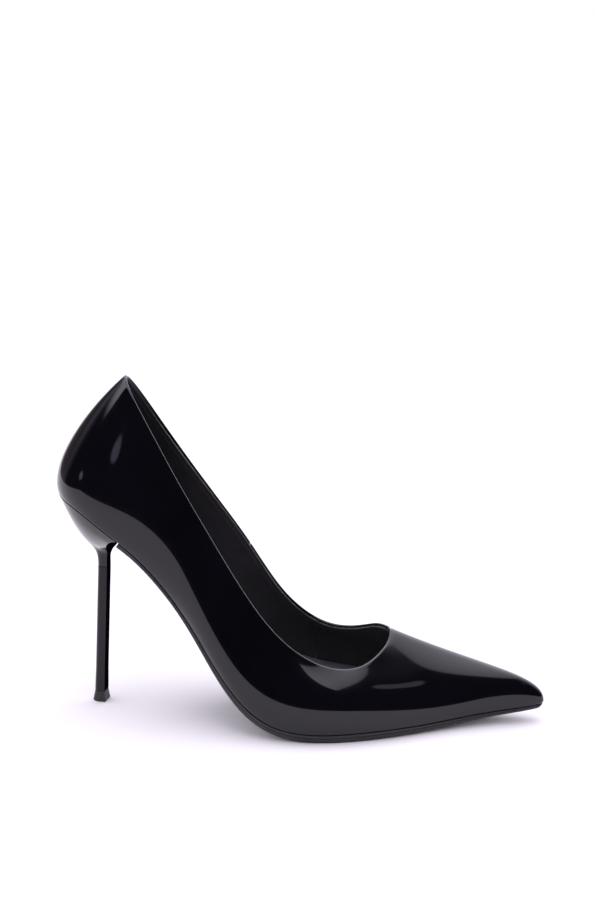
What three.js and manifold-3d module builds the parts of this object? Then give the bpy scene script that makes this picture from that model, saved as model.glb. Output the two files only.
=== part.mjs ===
// Pointed high heel pump, right shoe, size 38.  Millimetres.
// X runs from heel to toe, +Y is the inner (big toe) side, +Z is up.
// The shoe is drawn round its last: a closed ring of ribs that stand on the feather edge,
// which is the lower outer edge of the upper, and end at the topline, the rim of the opening.

import * as THREE from 'three';
import { mergeVertices } from 'three/addons/utils/BufferGeometryUtils.js';
import Module from 'manifold-3d';

const wasm = await Module();
wasm.setup();

// ---------------------------------------------------------------- driving dimensions

const lastLength = 228.2;        // back of the feather edge to the tip, along X
const lastWidth = 75.9;          // widest place, across the ball of the foot
const heelHeight = 103.4;        // floor to the feather edge at the back

const skin = { outer: 1.0, stiffener: 0.5, lining: 0.6, gap: 0.17 };   // wall of the upper
const tapeWidth = 5;             // share of a rib is worked out from this

const insoleThickness = 1.8;
const foamThickness = 2.0;
const sockThickness = 0.8;
const bottomGap = 0.3;           // between pieces stacked inside
const sideGap = 0.5;             // from an inner piece's edge to the lining

const shank = { rear: -6, front: 80, width: 10, thickness: 1.2, rivet: 1.5, rivetEnd: 9 };
const soleAt = { waist: 3.0, ball: 4.6, toe: 2.5 };                   // outsole thickness
const soleInset = 0.6;           // outsole top edge, in from the feather edge
const soleBevel = 1.2;           // further in at the bottom edge
const soleLap = 1.1;             // from the heel's breast to the outsole, at the seat
const breastX = 14;              // where the heel ends and the outsole starts, at the seat

const stem = { depth: 5.2, width: 5.7, flare: 1.06 };  // flare at its foot
const stemTurn = 6;              // degrees, its flat front looks a little to the outer side
const stemLean = 2.1;            // degrees, the foot of the stem is further back
const coneDrop = 35.4;           // seat at the back, down to the neck where the stem starts
const coverThickness = 0.5;
const topPiece = { height: 5, flare: 1.26 };           // flare from its head to its foot
const dowel = { outer: 1.4, bore: 0.9, foot: 12, intoCone: 12 };
const liftPin = { radius: 0.75, length: 14, headRadius: 2.0, headHeight: 0.9, floor: 1.6 };
const nail = { radius: 0.75, head: 1.7, headHeight: 0.7, length: 12, ring: 8.2 };
const screw = { radius: 1.6, head: 3.2, headHeight: 1.0, length: 18, x: 4 };
const fit = 0.15;                // radial clearance of a pin in its bore
const rest = 0.3;                // gap between two pieces that touch

// ---------------------------------------------------------------- outlines of the last

// The outlines are drawn for one last and graded to the driving sizes.
const drawn = { length: 228.2, width: 75.9, heel: 103.4, ball: 4.7 };

// Bottom of the lasted upper along the shoe: x, z.
const bottomLine = [
  [-19, 104.6], [-7, 101.4], [8, 91.8], [22, 80.4], [36, 64.8], [50, 47.1], [64, 28.3],
  [78, 14.2], [92, 7.1], [108, 4.7], [130, 4.8], [160, 5.3], [185, 7.2], [212, 9.6]];

// Ribs from the back, along the outer side to the tip, and back along the inner side:
// feather edge x, y and topline x, y, z.
const ribs = [
  [-18.2,   0.0,   14.0,   0.0, 161.5],   // back of the heel
  [-11.9, -14.7,   18.6,  -8.3, 154.9],
  [  3.0, -22.3,   29.4, -13.8, 138.0],
  [ 21.0, -21.8,   41.6, -16.6, 117.0],
  [ 40.0, -21.4,   54.3, -20.0,  96.9],   // waist
  [ 59.0, -29.3,   68.4, -23.8,  75.7],
  [ 77.0, -37.0,   83.6, -27.6,  55.8],
  [ 96.0, -39.9,   99.0, -29.4,  41.9],   // ball
  [117.0, -37.4,  113.6, -28.0,  34.6],
  [138.0, -29.5,  125.4, -23.2,  32.9],
  [160.0, -17.0,  132.7, -16.4,  34.9],
  [182.0,  -4.6,  136.9,  -9.4,  38.0],
  [202.8,   3.4,  138.6,  -2.8,  40.8],
  [210.0,   8.4,  138.5,   3.2,  43.3],   // tip of the toe
  [204.3,  13.2,  137.2,   8.4,  42.4],
  [184.0,  15.6,  133.6,  13.0,  42.0],
  [162.0,  19.8,  128.6,  17.6,  40.6],
  [140.0,  26.2,  121.6,  22.8,  37.4],
  [118.0,  33.0,  110.5,  27.8,  34.8],
  [ 97.0,  36.0,   97.5,  29.6,  38.0],   // ball
  [ 78.0,  31.5,   82.5,  28.0,  51.6],
  [ 60.0,  22.5,   68.3,  23.4,  74.9],
  [ 41.0,  18.5,   54.5,  18.8,  96.8],   // waist
  [ 21.5,  20.0,   41.0,  15.0, 117.4],
  [  3.0,  21.6,   28.6,  12.4, 136.5],
  [-11.9,  14.3,   18.2,   7.6, 154.0]];

// How the wall swells between its foot and its top, from the back (0) to the tip (1):
// at the foot and at the top, the share of the chord kept, then outwards and upwards in mm;
// last, how far the upper is turned in under the foot.
const swell = [
  [0.00, 0.22, 11.2,  0.0, 0.34, 10.2, 0.0,  9.0],
  [0.08, 0.25, 10.8,  0.0, 0.34,  8.2, 0.0,  9.5],
  [0.16, 0.30,  8.8,  0.0, 0.34,  5.5, 0.0, 10.0],
  [0.32, 0.30,  7.0,  0.0, 0.30,  3.5, 0.0, 10.0],
  [0.48, 0.28,  7.5,  2.5, 0.30,  4.5, 0.0, 10.0],
  [0.62, 0.18,  6.0,  8.0, 0.32,  6.5, 0.5, 10.0],
  [0.76, 0.05,  3.5, 11.0, 0.38,  3.5, 1.6,  7.5],
  [0.90, 0.00,  1.6, 13.0, 0.54,  0.5, 2.0,  4.6],
  [1.00, 0.00,  1.0, 13.8, 0.62,  0.0, 3.0,  4.1]];

// Places round the ring, counted in ribs.
const tipRib = 13;
const sideSeamRib = 21;          // where vamp and inside quarter meet
const puffRibs = [10, 16];       // toe puff, across the tip
const counterRibs = [23, 29];    // heel counter, across the back
const liningSeamRibs = [7, 19];  // where vamp lining and quarter lining meet

// ---------------------------------------------------------------- curves

// Solves a cyclic or natural tridiagonal system by plain elimination.
function solve(matrix, right) {
  const n = right.length;
  const m = matrix.map((row, i) => [...row, ...right[i]]);
  for (let i = 0; i < n; i++) {
    for (let j = i + 1; j < n; j++) {
      const f = m[j][i] / m[i][i];
      if (f !== 0) for (let k = i; k < m[i].length; k++) m[j][k] -= f * m[i][k];
    }
  }
  for (let i = n - 1; i >= 0; i--) {
    for (let k = n; k < m[i].length; k++) {
      for (let j = i + 1; j < n; j++) m[i][k] -= m[i][j] * m[j][k];
      m[i][k] /= m[i][i];
    }
  }
  return m.map((row) => row.slice(n));
}

// Smooth closed curve through the points; its parameter runs 0..1 once round.
function closedCurve(points) {
  const n = points.length;
  const around = (i) => points[(i + n) % n];
  const matrix = points.map((_, i) => points.map((_, j) => {
    const step = (j - i + n) % n;
    return step === 0 ? 4 : step === 1 || step === n - 1 ? 1 : 0;
  }));
  const right = points.map((_, i) => around(i + 1).map((c, k) => 3 * (c - around(i - 1)[k])));
  const slopes = solve(matrix, right);
  return (t) => {
    const place = (t - Math.floor(t)) * n;
    const i = Math.floor(place) % n;
    const j = (i + 1) % n;
    const u = place - Math.floor(place);
    const h = [2 * u ** 3 - 3 * u * u + 1, u ** 3 - 2 * u * u + u, 3 * u * u - 2 * u ** 3, u ** 3 - u * u];
    return points[i].map((c, k) =>
      h[0] * c + h[1] * slopes[i][k] + h[2] * points[j][k] + h[3] * slopes[j][k]);
  };
}

// Smooth open curve: rows of [place, value, value, ...] with rising places.
function openCurve(rows) {
  const n = rows.length;
  const step = (i) => rows[i + 1][0] - rows[i][0];
  const matrix = rows.map(() => new Array(n).fill(0));
  const right = rows.map((row) => row.slice(1).map(() => 0));
  matrix[0][0] = 1;
  matrix[n - 1][n - 1] = 1;
  for (let i = 1; i < n - 1; i++) {
    matrix[i][i - 1] = step(i - 1);
    matrix[i][i] = 2 * (step(i - 1) + step(i));
    matrix[i][i + 1] = step(i);
    right[i] = rows[i].slice(1).map((c, k) =>
      6 * ((rows[i + 1][k + 1] - c) / step(i) - (c - rows[i - 1][k + 1]) / step(i - 1)));
  }
  const bend = solve(matrix, right);
  return (x) => {
    let i = 0;
    while (i < n - 2 && x > rows[i + 1][0]) i++;
    const h = step(i);
    const d = x - rows[i][0];
    const e = rows[i + 1][0] - x;
    return rows[i].slice(1).map((c, k) =>
      bend[i][k] * e ** 3 / (6 * h) + bend[i + 1][k] * d ** 3 / (6 * h)
      + (c / h - bend[i][k] * h / 6) * e + (rows[i + 1][k + 1] / h - bend[i + 1][k] * h / 6) * d);
  };
}

const mix = (a, b, share) => a + (b - a) * share;
const smooth = (x) => { const s = THREE.MathUtils.clamp(x, 0, 1); return s * s * (3 - 2 * s); };

// ---------------------------------------------------------------- the graded last

const gradeX = lastLength / drawn.length;
const gradeY = lastWidth / drawn.width;
const gradeZ = (heelHeight - drawn.ball) / (drawn.heel - drawn.ball);

const bottomCurve = openCurve(bottomLine.map(([x, z]) =>
  [x * gradeX, drawn.ball + (z - drawn.ball) * gradeZ]));
const drawnBottom = openCurve(bottomLine);
const bottomZ = (x) => bottomCurve(x)[0];

// Unit normal of the bottom, pointing up into the shoe.
function bottomNormal(x) {
  const slope = (bottomZ(x + 0.5) - bottomZ(x - 0.5));
  return new THREE.Vector3(-slope, 0, 1).normalize();
}

// Point at height h over the bottom, measured square to it.
function overBottom(x, y, h) {
  return new THREE.Vector3(x, y, bottomZ(x)).addScaledVector(bottomNormal(x), h);
}

const featherCurve = closedCurve(ribs.map(([x, y]) => [x * gradeX, y * gradeY]));
const toplineCurve = closedCurve(ribs.map(([fx, fy, x, y, z]) =>
  [x * gradeX, y * gradeY, z + bottomZ(fx * gradeX) - drawnBottom(fx)[0]]));
const mirrored = (row, end) => [2 * end - row[0], ...row.slice(1)];
const swellCurve = openCurve([
  mirrored(swell[1], 0), ...swell, mirrored(swell[swell.length - 2], 1)]);

const ringCount = ribs.length;
const ringShare = (rib) => rib / ringCount;

// Foot, top and outward direction of the rib at t.
function ribAt(t) {
  const turn = 1e-4;
  const [x, y] = featherCurve(t);
  const [ax, ay] = featherCurve(t - turn);
  const [bx, by] = featherCurve(t + turn);
  const foot = new THREE.Vector3(x, y, bottomZ(x));
  const top = new THREE.Vector3(...toplineCurve(t));
  const out = new THREE.Vector3(by - ay, ax - bx, 0).normalize();
  const place = t - Math.floor(t);
  const tip = ringShare(tipRib);
  const along = place <= tip ? place / tip : (1 - place) / (1 - tip);
  const [keep0, out0, up0, keep1, out1, up1, turned] = swellCurve(along);
  const chord = top.clone().sub(foot);
  const low = foot.clone().addScaledVector(chord, keep0).addScaledVector(out, out0);
  const high = top.clone().addScaledVector(chord, -keep1).addScaledVector(out, out1);
  low.z += up0;
  high.z += up1;
  return { foot, low, high, top, out, turned };
}

// Outer face of the upper: t round the ring, v from the foot (0) to the topline (1).
function outerFace(t, v) {
  const { foot, low, high, top } = ribAt(t);
  const w = 1 - v;
  return foot.multiplyScalar(w ** 3).addScaledVector(low, 3 * v * w * w)
    .addScaledVector(high, 3 * v * v * w).addScaledVector(top, v ** 3);
}

function outerNormal(t, v) {
  const step = 1e-3;
  const along = outerFace(t + step, v).sub(outerFace(t - step, v));
  const lowV = Math.max(v - step, 0);
  const highV = Math.min(v + step, 1);
  const up = outerFace(t, highV).sub(outerFace(t, lowV));
  return along.cross(up).normalize();
}

// A point of the lasted upper at depth d under its outer face.  Places from -1 to 0 lie on
// the margin turned in under the foot, places from 0 to 1 on the wall.
// Near the foot the layers stack square to the bottom as well as square to the wall.
const cornerHeight = 5.6;
function inUpper(t, place, d) {
  const { foot, out, turned } = ribAt(t);
  if (place < 0) {
    return overBottom(foot.x + out.x * turned * place, foot.y + out.y * turned * place, d);
  }
  const face = outerFace(t, place);
  const raised = Math.min(1, face.distanceTo(foot) / cornerHeight);
  const up = bottomNormal(foot.x);
  const depthWay = out.addScaledVector(up, -out.dot(up)).normalize()
    .lerp(outerNormal(t, place), smooth(raised)).normalize();
  return face.addScaledVector(depthWay, -d).addScaledVector(up, d * (1 - raised));
}

// ---------------------------------------------------------------- solids

function solidGeometry(vertices, faces) {
  const geometry = new THREE.BufferGeometry();
  geometry.setAttribute('position', new THREE.Float32BufferAttribute(vertices.flat(), 3));
  geometry.setIndex(faces.flat());
  const merged = mergeVertices(geometry, 1e-3);
  const index = merged.getIndex().array;
  const kept = [];
  for (let i = 0; i < index.length; i += 3) {
    const [a, b, c] = index.slice(i, i + 3);
    if (a !== b && b !== c && c !== a) kept.push(a, b, c);
  }
  merged.setIndex(kept);
  return merged;
}

// Closed solid between two grids of points with the same rows and columns.  A grid may
// close on itself along its rows (wrap), which leaves only the column ends to be walled.
function slab(outside, inside, { wrap = false } = {}) {
  const rows = outside.length;
  const columns = outside[0].length;
  const vertices = [...outside.flat(), ...inside.flat()].map((p) => [p.x, p.y, p.z]);
  const out = (i, j) => (i % rows) * columns + j;
  const ins = (i, j) => rows * columns + out(i, j);
  const faces = [];
  const quad = (a, b, c, d) => faces.push([a, b, c], [a, c, d]);
  const lastRow = wrap ? rows : rows - 1;
  for (let i = 0; i < lastRow; i++) {
    for (let j = 0; j < columns - 1; j++) {
      quad(out(i, j), out(i + 1, j), out(i + 1, j + 1), out(i, j + 1));
      quad(ins(i, j), ins(i, j + 1), ins(i + 1, j + 1), ins(i + 1, j));
    }
    quad(out(i, 0), ins(i, 0), ins(i + 1, 0), out(i + 1, 0));
    const e = columns - 1;
    quad(out(i, e), out(i + 1, e), ins(i + 1, e), ins(i, e));
  }
  if (!wrap) {
    for (const [i, flip] of [[0, false], [rows - 1, true]]) {
      for (let j = 0; j < columns - 1; j++) {
        if (flip) quad(out(i, j), ins(i, j), ins(i, j + 1), out(i, j + 1));
        else quad(out(i, j), out(i, j + 1), ins(i, j + 1), ins(i, j));
      }
    }
  }
  return solidGeometry(vertices, faces);
}

const gridStep = 0.5;            // ribs between two columns of facets
const marginBend = -0.7;         // every layer bends here on its way up to the wall
const allPlaces = [-1, marginBend, 0, 0.06, 0.15, 0.28, 0.44, 0.6, 0.76, 0.9, 1];

// Point on the facets that all layers share, so that layers of any extent stay parallel.
function onFacets(rib, place, d) {
  const column = Math.floor(rib / gridStep + 1e-6) * gridStep;
  const row = Math.max(0, allPlaces.findLastIndex((v) => v <= place && v < 1));
  const [low, high] = [allPlaces[row], allPlaces[row + 1]];
  const up = (place - low) / (high - low);
  const side = (r) => inUpper(ringShare(r), low, d).lerp(inUpper(ringShare(r), high, d), up);
  return side(column).lerp(side(column + gridStep), (rib - column) / gridStep);
}

// Piece of the upper between two ribs, two places up the wall and two depths.
function upperPiece({ from, to, low, high, depth, thickness, trim = 0 }) {
  const steps = Math.round((to - from) / gridStep);
  const places = [low, ...allPlaces.filter((v) => v > low && v < high), high];
  const grid = (d) => Array.from({ length: steps + 1 }, (_, i) => {
    const rib = from + i * gridStep + (i === 0 ? trim : i === steps ? -trim : 0);
    return places.map((v) => onFacets(rib, v, d));
  });
  const closes = to - from === ringCount && trim === 0;
  const cut = (rows) => (closes ? rows.slice(0, -1) : rows);
  return slab(cut(grid(depth)), cut(grid(depth + thickness)), { wrap: closes });
}

// Ladder of pairs: the same share of the way round on the outer and the inner side.
function ladder(from, to, steps) {
  return Array.from({ length: steps + 1 }, (_, i) => mix(from, to, i / steps) / ringCount);
}

// Flat piece across the shoe between two faces; edge(t, low) gives the edge at t.
function acrossPiece({ from = 0, to = tipRib, steps = 26, across = 4, edge }) {
  const grid = (low) => ladder(from, to, steps).map((t) => {
    const left = edge(t, low);
    const right = edge(1 - t, low);
    return Array.from({ length: across + 1 }, (_, j) => left.clone().lerp(right, j / across));
  });
  return slab(grid(false), grid(true));
}

// Edge at depth d in the wall and at a height over the bottom.
function wallEdge(t, height, d) {
  const { foot } = ribAt(t);
  const normal = bottomNormal(foot.x);
  const heightAt = (v) => inUpper(t, v, d).sub(foot).dot(normal);
  let low = 0;
  let high = 0.5;
  for (let i = 0; i < 16; i++) {
    const v = (low + high) / 2;
    if (heightAt(v) < height) low = v;
    else high = v;
  }
  return inUpper(t, low, d).addScaledVector(normal, height - heightAt(low));
}

// Edge that follows the feather edge, further in by inset, at a height over the bottom.
function featherEdge(t, height, inset) {
  const { foot, out } = ribAt(t);
  return overBottom(foot.x - out.x * inset, foot.y - out.y * inset, height);
}

function manifold(geometry) {
  const plain = geometry.clone();
  plain.deleteAttribute('normal');
  plain.deleteAttribute('uv');
  const merged = mergeVertices(plain, 1e-4);
  return new wasm.Manifold(new wasm.Mesh({
    numProp: 3,
    vertProperties: new Float32Array(merged.getAttribute('position').array),
    triVerts: new Uint32Array(merged.getIndex().array) }));
}

function fromManifold(body) {
  const mesh = body.getMesh();
  const geometry = new THREE.BufferGeometry();
  geometry.setAttribute('position', new THREE.BufferAttribute(mesh.vertProperties, 3));
  geometry.setIndex(new THREE.BufferAttribute(mesh.triVerts, 1));
  return geometry;
}

function drill(geometry, cutters) {
  return fromManifold(cutters.reduce((body, c) => body.subtract(manifold(c)), manifold(geometry)));
}

// Turned piece: profile of [radius, height] from foot to head, its axis from a point in a
// direction, heights measured along that direction.
function turned(profile, origin, direction, sides = 20) {
  const points = profile.map(([r, h]) => new THREE.Vector2(r, h));
  const geometry = new THREE.LatheGeometry(points, sides);
  const turn = new THREE.Quaternion().setFromUnitVectors(new THREE.Vector3(0, 1, 0), direction);
  geometry.applyQuaternion(turn);
  geometry.translate(origin.x, origin.y, origin.z);
  return geometry;
}

const rod = (radius, low, high) => [[0, low], [radius, low], [radius, high], [0, high]];

// ---------------------------------------------------------------- materials and group

const shoe = new THREE.Group();
shoe.name = 'high_heel_pump';

const finish = (color, roughness, metalness = 0) =>
  new THREE.MeshStandardMaterial({ color, roughness, metalness });

const materials = {
  patent: finish('#0c0b0d', 0.08),
  lining: finish('#151417', 0.55),
  stiffener: finish('#d8d2c4', 0.8),
  textile: finish('#cfcabd', 0.9),
  board: finish('#a98d66', 0.85),
  cork: finish('#b98c5a', 0.9),
  foam: finish('#e3ddcf', 0.95),
  sock: finish('#1b1a1d', 0.7),
  sole: finish('#121114', 0.25),
  heelPlastic: finish('#1c1b1e', 0.4),
  stem: finish('#2c292c', 0.35, 0.1),
  rubber: finish('#1a191b', 0.6),
  steel: finish('#a7a9ad', 0.35, 1) };

function add(name, geometry, material) {
  geometry.computeVertexNormals();
  const mesh = new THREE.Mesh(geometry, material.clone());
  mesh.name = name;
  shoe.add(mesh);
}

// ---------------------------------------------------------------- upper

const stiffenerDepth = skin.outer + skin.gap;
const liningDepth = stiffenerDepth + skin.stiffener + skin.gap;
const wallDepth = liningDepth + skin.lining;
const seamTrim = 0.01;           // half the gap of a butt seam, in ribs
const ribLength = ribAt(ringShare(4)).top.distanceTo(ribAt(ringShare(4)).foot);
const tapeLow = 1 - tapeWidth / ribLength;
const tapeHigh = 0.985;
const marginEdge = -1;

function addUpper() {
  const leather = { low: marginEdge, high: 1, depth: 0, thickness: skin.outer, trim: seamTrim };
  add('vamp', upperPiece({ ...leather, from: 0, to: sideSeamRib }), materials.patent);
  add('inside_quarter', upperPiece({ ...leather, from: sideSeamRib, to: ringCount }), materials.patent);
}

function addStiffeners() {
  const layer = { depth: stiffenerDepth, thickness: skin.stiffener, trim: seamTrim };
  const wall = { ...layer, low: -0.9, high: tapeLow - 0.02 };
  add('topline_tape', upperPiece({ ...layer, from: 0, to: ringCount, low: tapeLow, high: tapeHigh,
    trim: 0 }), materials.textile);
  add('toe_puff', upperPiece({ ...wall, from: puffRibs[0], to: puffRibs[1] }), materials.stiffener);
  add('heel_counter', upperPiece({ ...wall, from: counterRibs[0], to: counterRibs[1] }),
    materials.stiffener);
  add('outside_backer', upperPiece({ ...wall, from: counterRibs[1] - ringCount, to: puffRibs[0] }),
    materials.textile);
  add('inside_backer', upperPiece({ ...wall, from: puffRibs[1], to: counterRibs[0] }),
    materials.textile);
}

function addLinings() {
  const layer = { low: -0.8, high: 1, depth: liningDepth, thickness: skin.lining, trim: seamTrim };
  add('vamp_lining', upperPiece({ ...layer, from: liningSeamRibs[0], to: liningSeamRibs[1] }),
    materials.lining);
  add('quarter_lining', upperPiece({ ...layer, from: liningSeamRibs[1] - ringCount,
    to: liningSeamRibs[0] }), materials.lining);
}

// ---------------------------------------------------------------- bottom

const insoleLow = wallDepth + bottomGap;
const insoleHigh = insoleLow + insoleThickness;
const foamLow = insoleHigh + bottomGap;
const foamHigh = foamLow + foamThickness;
const sockLow = foamHigh + bottomGap;
const sockHigh = sockLow + sockThickness;
const innerInset = wallDepth + sideGap;

const shankLow = insoleLow - bottomGap - shank.thickness;
const fillerLow = 0.1;
const fillerInset = 1.2;         // from the turned-in margin to the filler

const neckHeight = heelHeight - coneDrop;

// Axes of the fasteners, square to the heel seat.
const fastenerAxis = (x, y) => ({ origin: overBottom(x, y, 0), direction: bottomNormal(x) });
const stemTilt = THREE.MathUtils.degToRad(stemLean);
const stemDirection = new THREE.Vector3(Math.sin(stemTilt), 0, Math.cos(stemTilt));
const stemAt = (z) => new THREE.Vector3(Math.tan(stemTilt) * z, 0, z);

const nailAxes = [60, 120, 180, 240, 300].map((degrees) => {
  const a = THREE.MathUtils.degToRad(degrees);
  return fastenerAxis(nail.ring * Math.cos(a), nail.ring * Math.sin(a));
});
const screwAxis = fastenerAxis(screw.x, 0);
const rivetAxes = [shank.front - shank.rivetEnd, 24].map((x) => fastenerAxis(x, 0));

const bore = (axis, radius, low, high) =>
  turned(rod(radius, low, high), axis.origin, axis.direction);

const nailTip = insoleHigh - nail.length;
const screwTip = insoleHigh - screw.length;

function wellCutters(high) {
  return [
    ...nailAxes.map((axis) => bore(axis, nail.radius + fit, nailTip - fit, high)),
    bore(screwAxis, screw.radius + fit, screwTip - fit, high)];
}

function headCutters(low, high) {
  return [
    ...nailAxes.map((axis) => bore(axis, nail.head + fit, low, high)),
    bore(screwAxis, screw.head + fit, low, high)];
}

function addInsole() {
  const plate = acrossPiece({ across: 6,
    edge: (t, low) => wallEdge(t, low ? insoleLow : insoleHigh, innerInset) });
  const above = insoleHigh + 3;
  const cutters = [
    ...wellCutters(above),
    ...headCutters(insoleHigh - screw.headHeight - fit, above),
    ...rivetAxes.map((axis) => bore(axis, shank.rivet + fit, insoleLow - 2, above)),
    ...rivetAxes.map((axis) => bore(axis, shank.rivet * 2 + fit, insoleHigh - 0.9, above))];
  add('insole_board', drill(plate, cutters), materials.board);
}

function addSockAndFoam() {
  add('sock_foam', acrossPiece({
    edge: (t, low) => wallEdge(t, low ? foamLow : foamHigh, innerInset) }), materials.foam);
  add('sock', acrossPiece({
    edge: (t, low) => wallEdge(t, low ? sockLow : sockHigh, innerInset) }), materials.sock);
}

// Steel strip that follows the arch under the insole.
function addShank() {
  const steps = 26;
  const half = shank.width / 2;
  const rear = shank.rear * gradeX;
  const front = shank.front * gradeX;
  const strip = (h) => Array.from({ length: steps + 1 }, (_, i) => {
    const x = mix(rear, front, i / steps);
    const ends = Math.min(x - rear, front - x);
    const width = ends >= half ? half : Math.sqrt(Math.max(0, half ** 2 - (half - ends) ** 2));
    return [-1, 0, 1].map((side) => overBottom(x, side * Math.max(width, half * 0.4), h));
  });
  const cutters = [
    bore(screwAxis, screw.radius + fit, shankLow - 2, insoleLow + 2),
    ...rivetAxes.map((axis) => bore(axis, shank.rivet + fit, shankLow - 2, insoleLow + 2))];
  const body = slab(strip(shankLow + shank.thickness), strip(shankLow));
  add('steel_shank', drill(body, cutters), materials.steel);
  const names = ['shank_rivet_front', 'shank_rivet_rear'];
  rivetAxes.forEach((axis, i) => {
    const head = shank.rivet * 2;
    const top = insoleHigh - 0.1;
    const profile = [[0, shankLow + 0.05], [shank.rivet, shankLow + 0.05],
      [shank.rivet, top - 0.6], [head, top - 0.6], [head * 0.8, top], [0, top]];
    add(names[i], turned(profile, axis.origin, axis.direction), materials.steel);
  });
}

// Filler between the turned-in margins, from the heel's breast to the toe, thinner where
// the shank lies over it.
function addFiller() {
  const shankEnd = shank.front * gradeX + 4;
  const top = (x) => mix(shankLow - rest, insoleLow - rest, smooth((x - shankEnd) / 4));
  const edge = (t, low) => {
    const { foot, out, turned: margin } = ribAt(t);
    const inset = margin + fillerInset;
    const x = foot.x - out.x * inset;
    return overBottom(x, foot.y - out.y * inset, low ? fillerLow : top(x));
  };
  const from = ribAtX(screw.x * gradeX + 12);
  add('bottom_filler', acrossPiece({ from, to: tipRib - 0.8, steps: 36, edge }), materials.cork);
}

const soleCurve = openCurve([
  [breastX, soleAt.waist], [60, soleAt.waist], [80, mix(soleAt.waist, soleAt.ball, 0.6)],
  [104, soleAt.ball], [140, soleAt.ball], [180, mix(soleAt.ball, soleAt.toe, 0.55)],
  [210, soleAt.toe]].map(([x, h]) => [x * gradeX, h]));

// Rib, counted on the outer side, whose foot lies at x.
function ribAtX(x) {
  let low = 0;
  let high = tipRib;
  for (let i = 0; i < 30; i++) {
    const middle = (low + high) / 2;
    if (ribAt(ringShare(middle)).foot.x < x) low = middle;
    else high = middle;
  }
  return low;
}

function addOutsole() {
  const edge = (t, low) => {
    const { foot } = ribAt(t);
    const p = featherEdge(t, low ? -soleCurve(foot.x)[0] : -rest, soleInset + (low ? soleBevel : 0));
    p.z = Math.max(p.z, 0);
    return p;
  };
  const from = ribAtX(breastX * gradeX + soleLap);
  add('outsole', acrossPiece({ from, steps: 36, across: 6, edge }), materials.sole);
}

// ---------------------------------------------------------------- heel

// Heel cone from the neck (0) to the seat (1): back x and z, breast x and z, half width.
// Heights are given as drops from the feather edge at the back.
const neckX = stemAt(neckHeight).x;
const coneCurve = openCurve([
  [0.00, neckX - stem.depth / 2, coneDrop, neckX + stem.depth / 2, coneDrop, stem.width / 2],
  [0.17, -0.5, 30.6, 5.6, 31.0, stem.width / 2 + 0.3],
  [0.33, -2.2, 26.6, 6.6, 28.0, 4.6],
  [0.50, -5.8, 21.8, 7.9, 26.0, 8.0],
  [0.67, -10.6, 15.0, 9.8, 24.4, 12.8],
  [0.84, -15.2, 6.2, 11.3, 21.6, 18.2],
  [1.00, -18.0, 0.2, breastX - 0.6, 17.0, 21.6]]);

const seatCorner = ribAtX(breastX * gradeX) / ringCount;
const backShare = 0.75;          // share of a half section that is back and side
const roundShare = 0.6;          // share of that which is round, before the straight side
const breastCrown = 0.17;        // how far the breast's corners stand back, half way up

// Point of a half section, from the middle of the back (0) to the middle of the breast (1).
// along runs 0..1 from back to breast, across 0..1 from the middle to the side.
function sectionShape(u, w, squareness) {
  const share = Math.min(u / backShare, 1);
  const angle = Math.min(share / roundShare, 1) * Math.PI / 2;
  const straight = Math.max(0, (share - roundShare) / (1 - roundShare));
  const foot = featherCurve(seatCorner * share);
  const back = featherCurve(0)[0];
  const seatAlong = (foot[0] - back) / (breastX * gradeX - back);
  const seatAcross = Math.abs(foot[1]) / (21.9 * gradeY);
  const toMiddle = Math.min(1, (1 - u) / (1 - backShare));
  const crown = breastCrown * Math.sin(Math.PI * w);
  return {
    along: mix((1 - Math.cos(angle)) / 2 + straight / 2, seatAlong, squareness)
      * (1 - crown) + crown * (1 - toMiddle ** 2),
    across: mix(Math.sin(angle), seatAcross, squareness) * toMiddle };
}

// Height of the straight line from the back (0) to the breast (1) of the heel's seat.
const [, seatBackDrop, , seatBreastDrop] = coneCurve(1);
const seatChord = (share) => heelHeight - mix(seatBackDrop, seatBreastDrop, share);

// Turns a point about an upright axis by a share of the stem's turn.
function turnOutwards(p, centre, share) {
  const angle = -THREE.MathUtils.degToRad(stemTurn) * share;
  const [dx, dy] = [p.x - centre.x, p.y - centre.y];
  p.x = centre.x + dx * Math.cos(angle) - dy * Math.sin(angle);
  p.y = centre.y + dx * Math.sin(angle) + dy * Math.cos(angle);
  return p;
}

// Section of the heel cone at w, drawn in by inset, as a closed ring of points.
const sectionSteps = 12;
const seatGap = 0.4;
function coneSection(w, inset) {
  const [backX, backDrop, breastFaceX, breastDrop, halfWidth] = coneCurve(w);
  const back = new THREE.Vector3(backX + inset, 0, heelHeight - backDrop);
  const breast = new THREE.Vector3(breastFaceX - inset, 0, heelHeight - breastDrop);
  const squareness = smooth((w - 0.3) / 0.4);
  const settle = smooth((w - 0.5) / 0.5);
  const ring = [];
  for (let i = 0; i < 2 * sectionSteps; i++) {
    const u = i <= sectionSteps ? i / sectionSteps : 2 - i / sectionSteps;
    const side = i <= sectionSteps ? -1 : 1;
    const { along, across } = sectionShape(u, w, squareness);
    const p = back.clone().lerp(breast, along);
    p.y = side * across * (halfWidth - inset);
    p.z += (bottomZ(p.x) - seatGap - seatChord(along)) * settle;
    turnOutwards(p, breast.clone().lerp(back, 0.5), 1 - smooth(w / 0.4));
    ring.push(p);
  }
  return ring;
}

const coneSteps = 13;
function coneRings(inset) {
  return Array.from({ length: coneSteps + 1 }, (_, i) => coneSection(i / coneSteps, inset));
}

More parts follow.
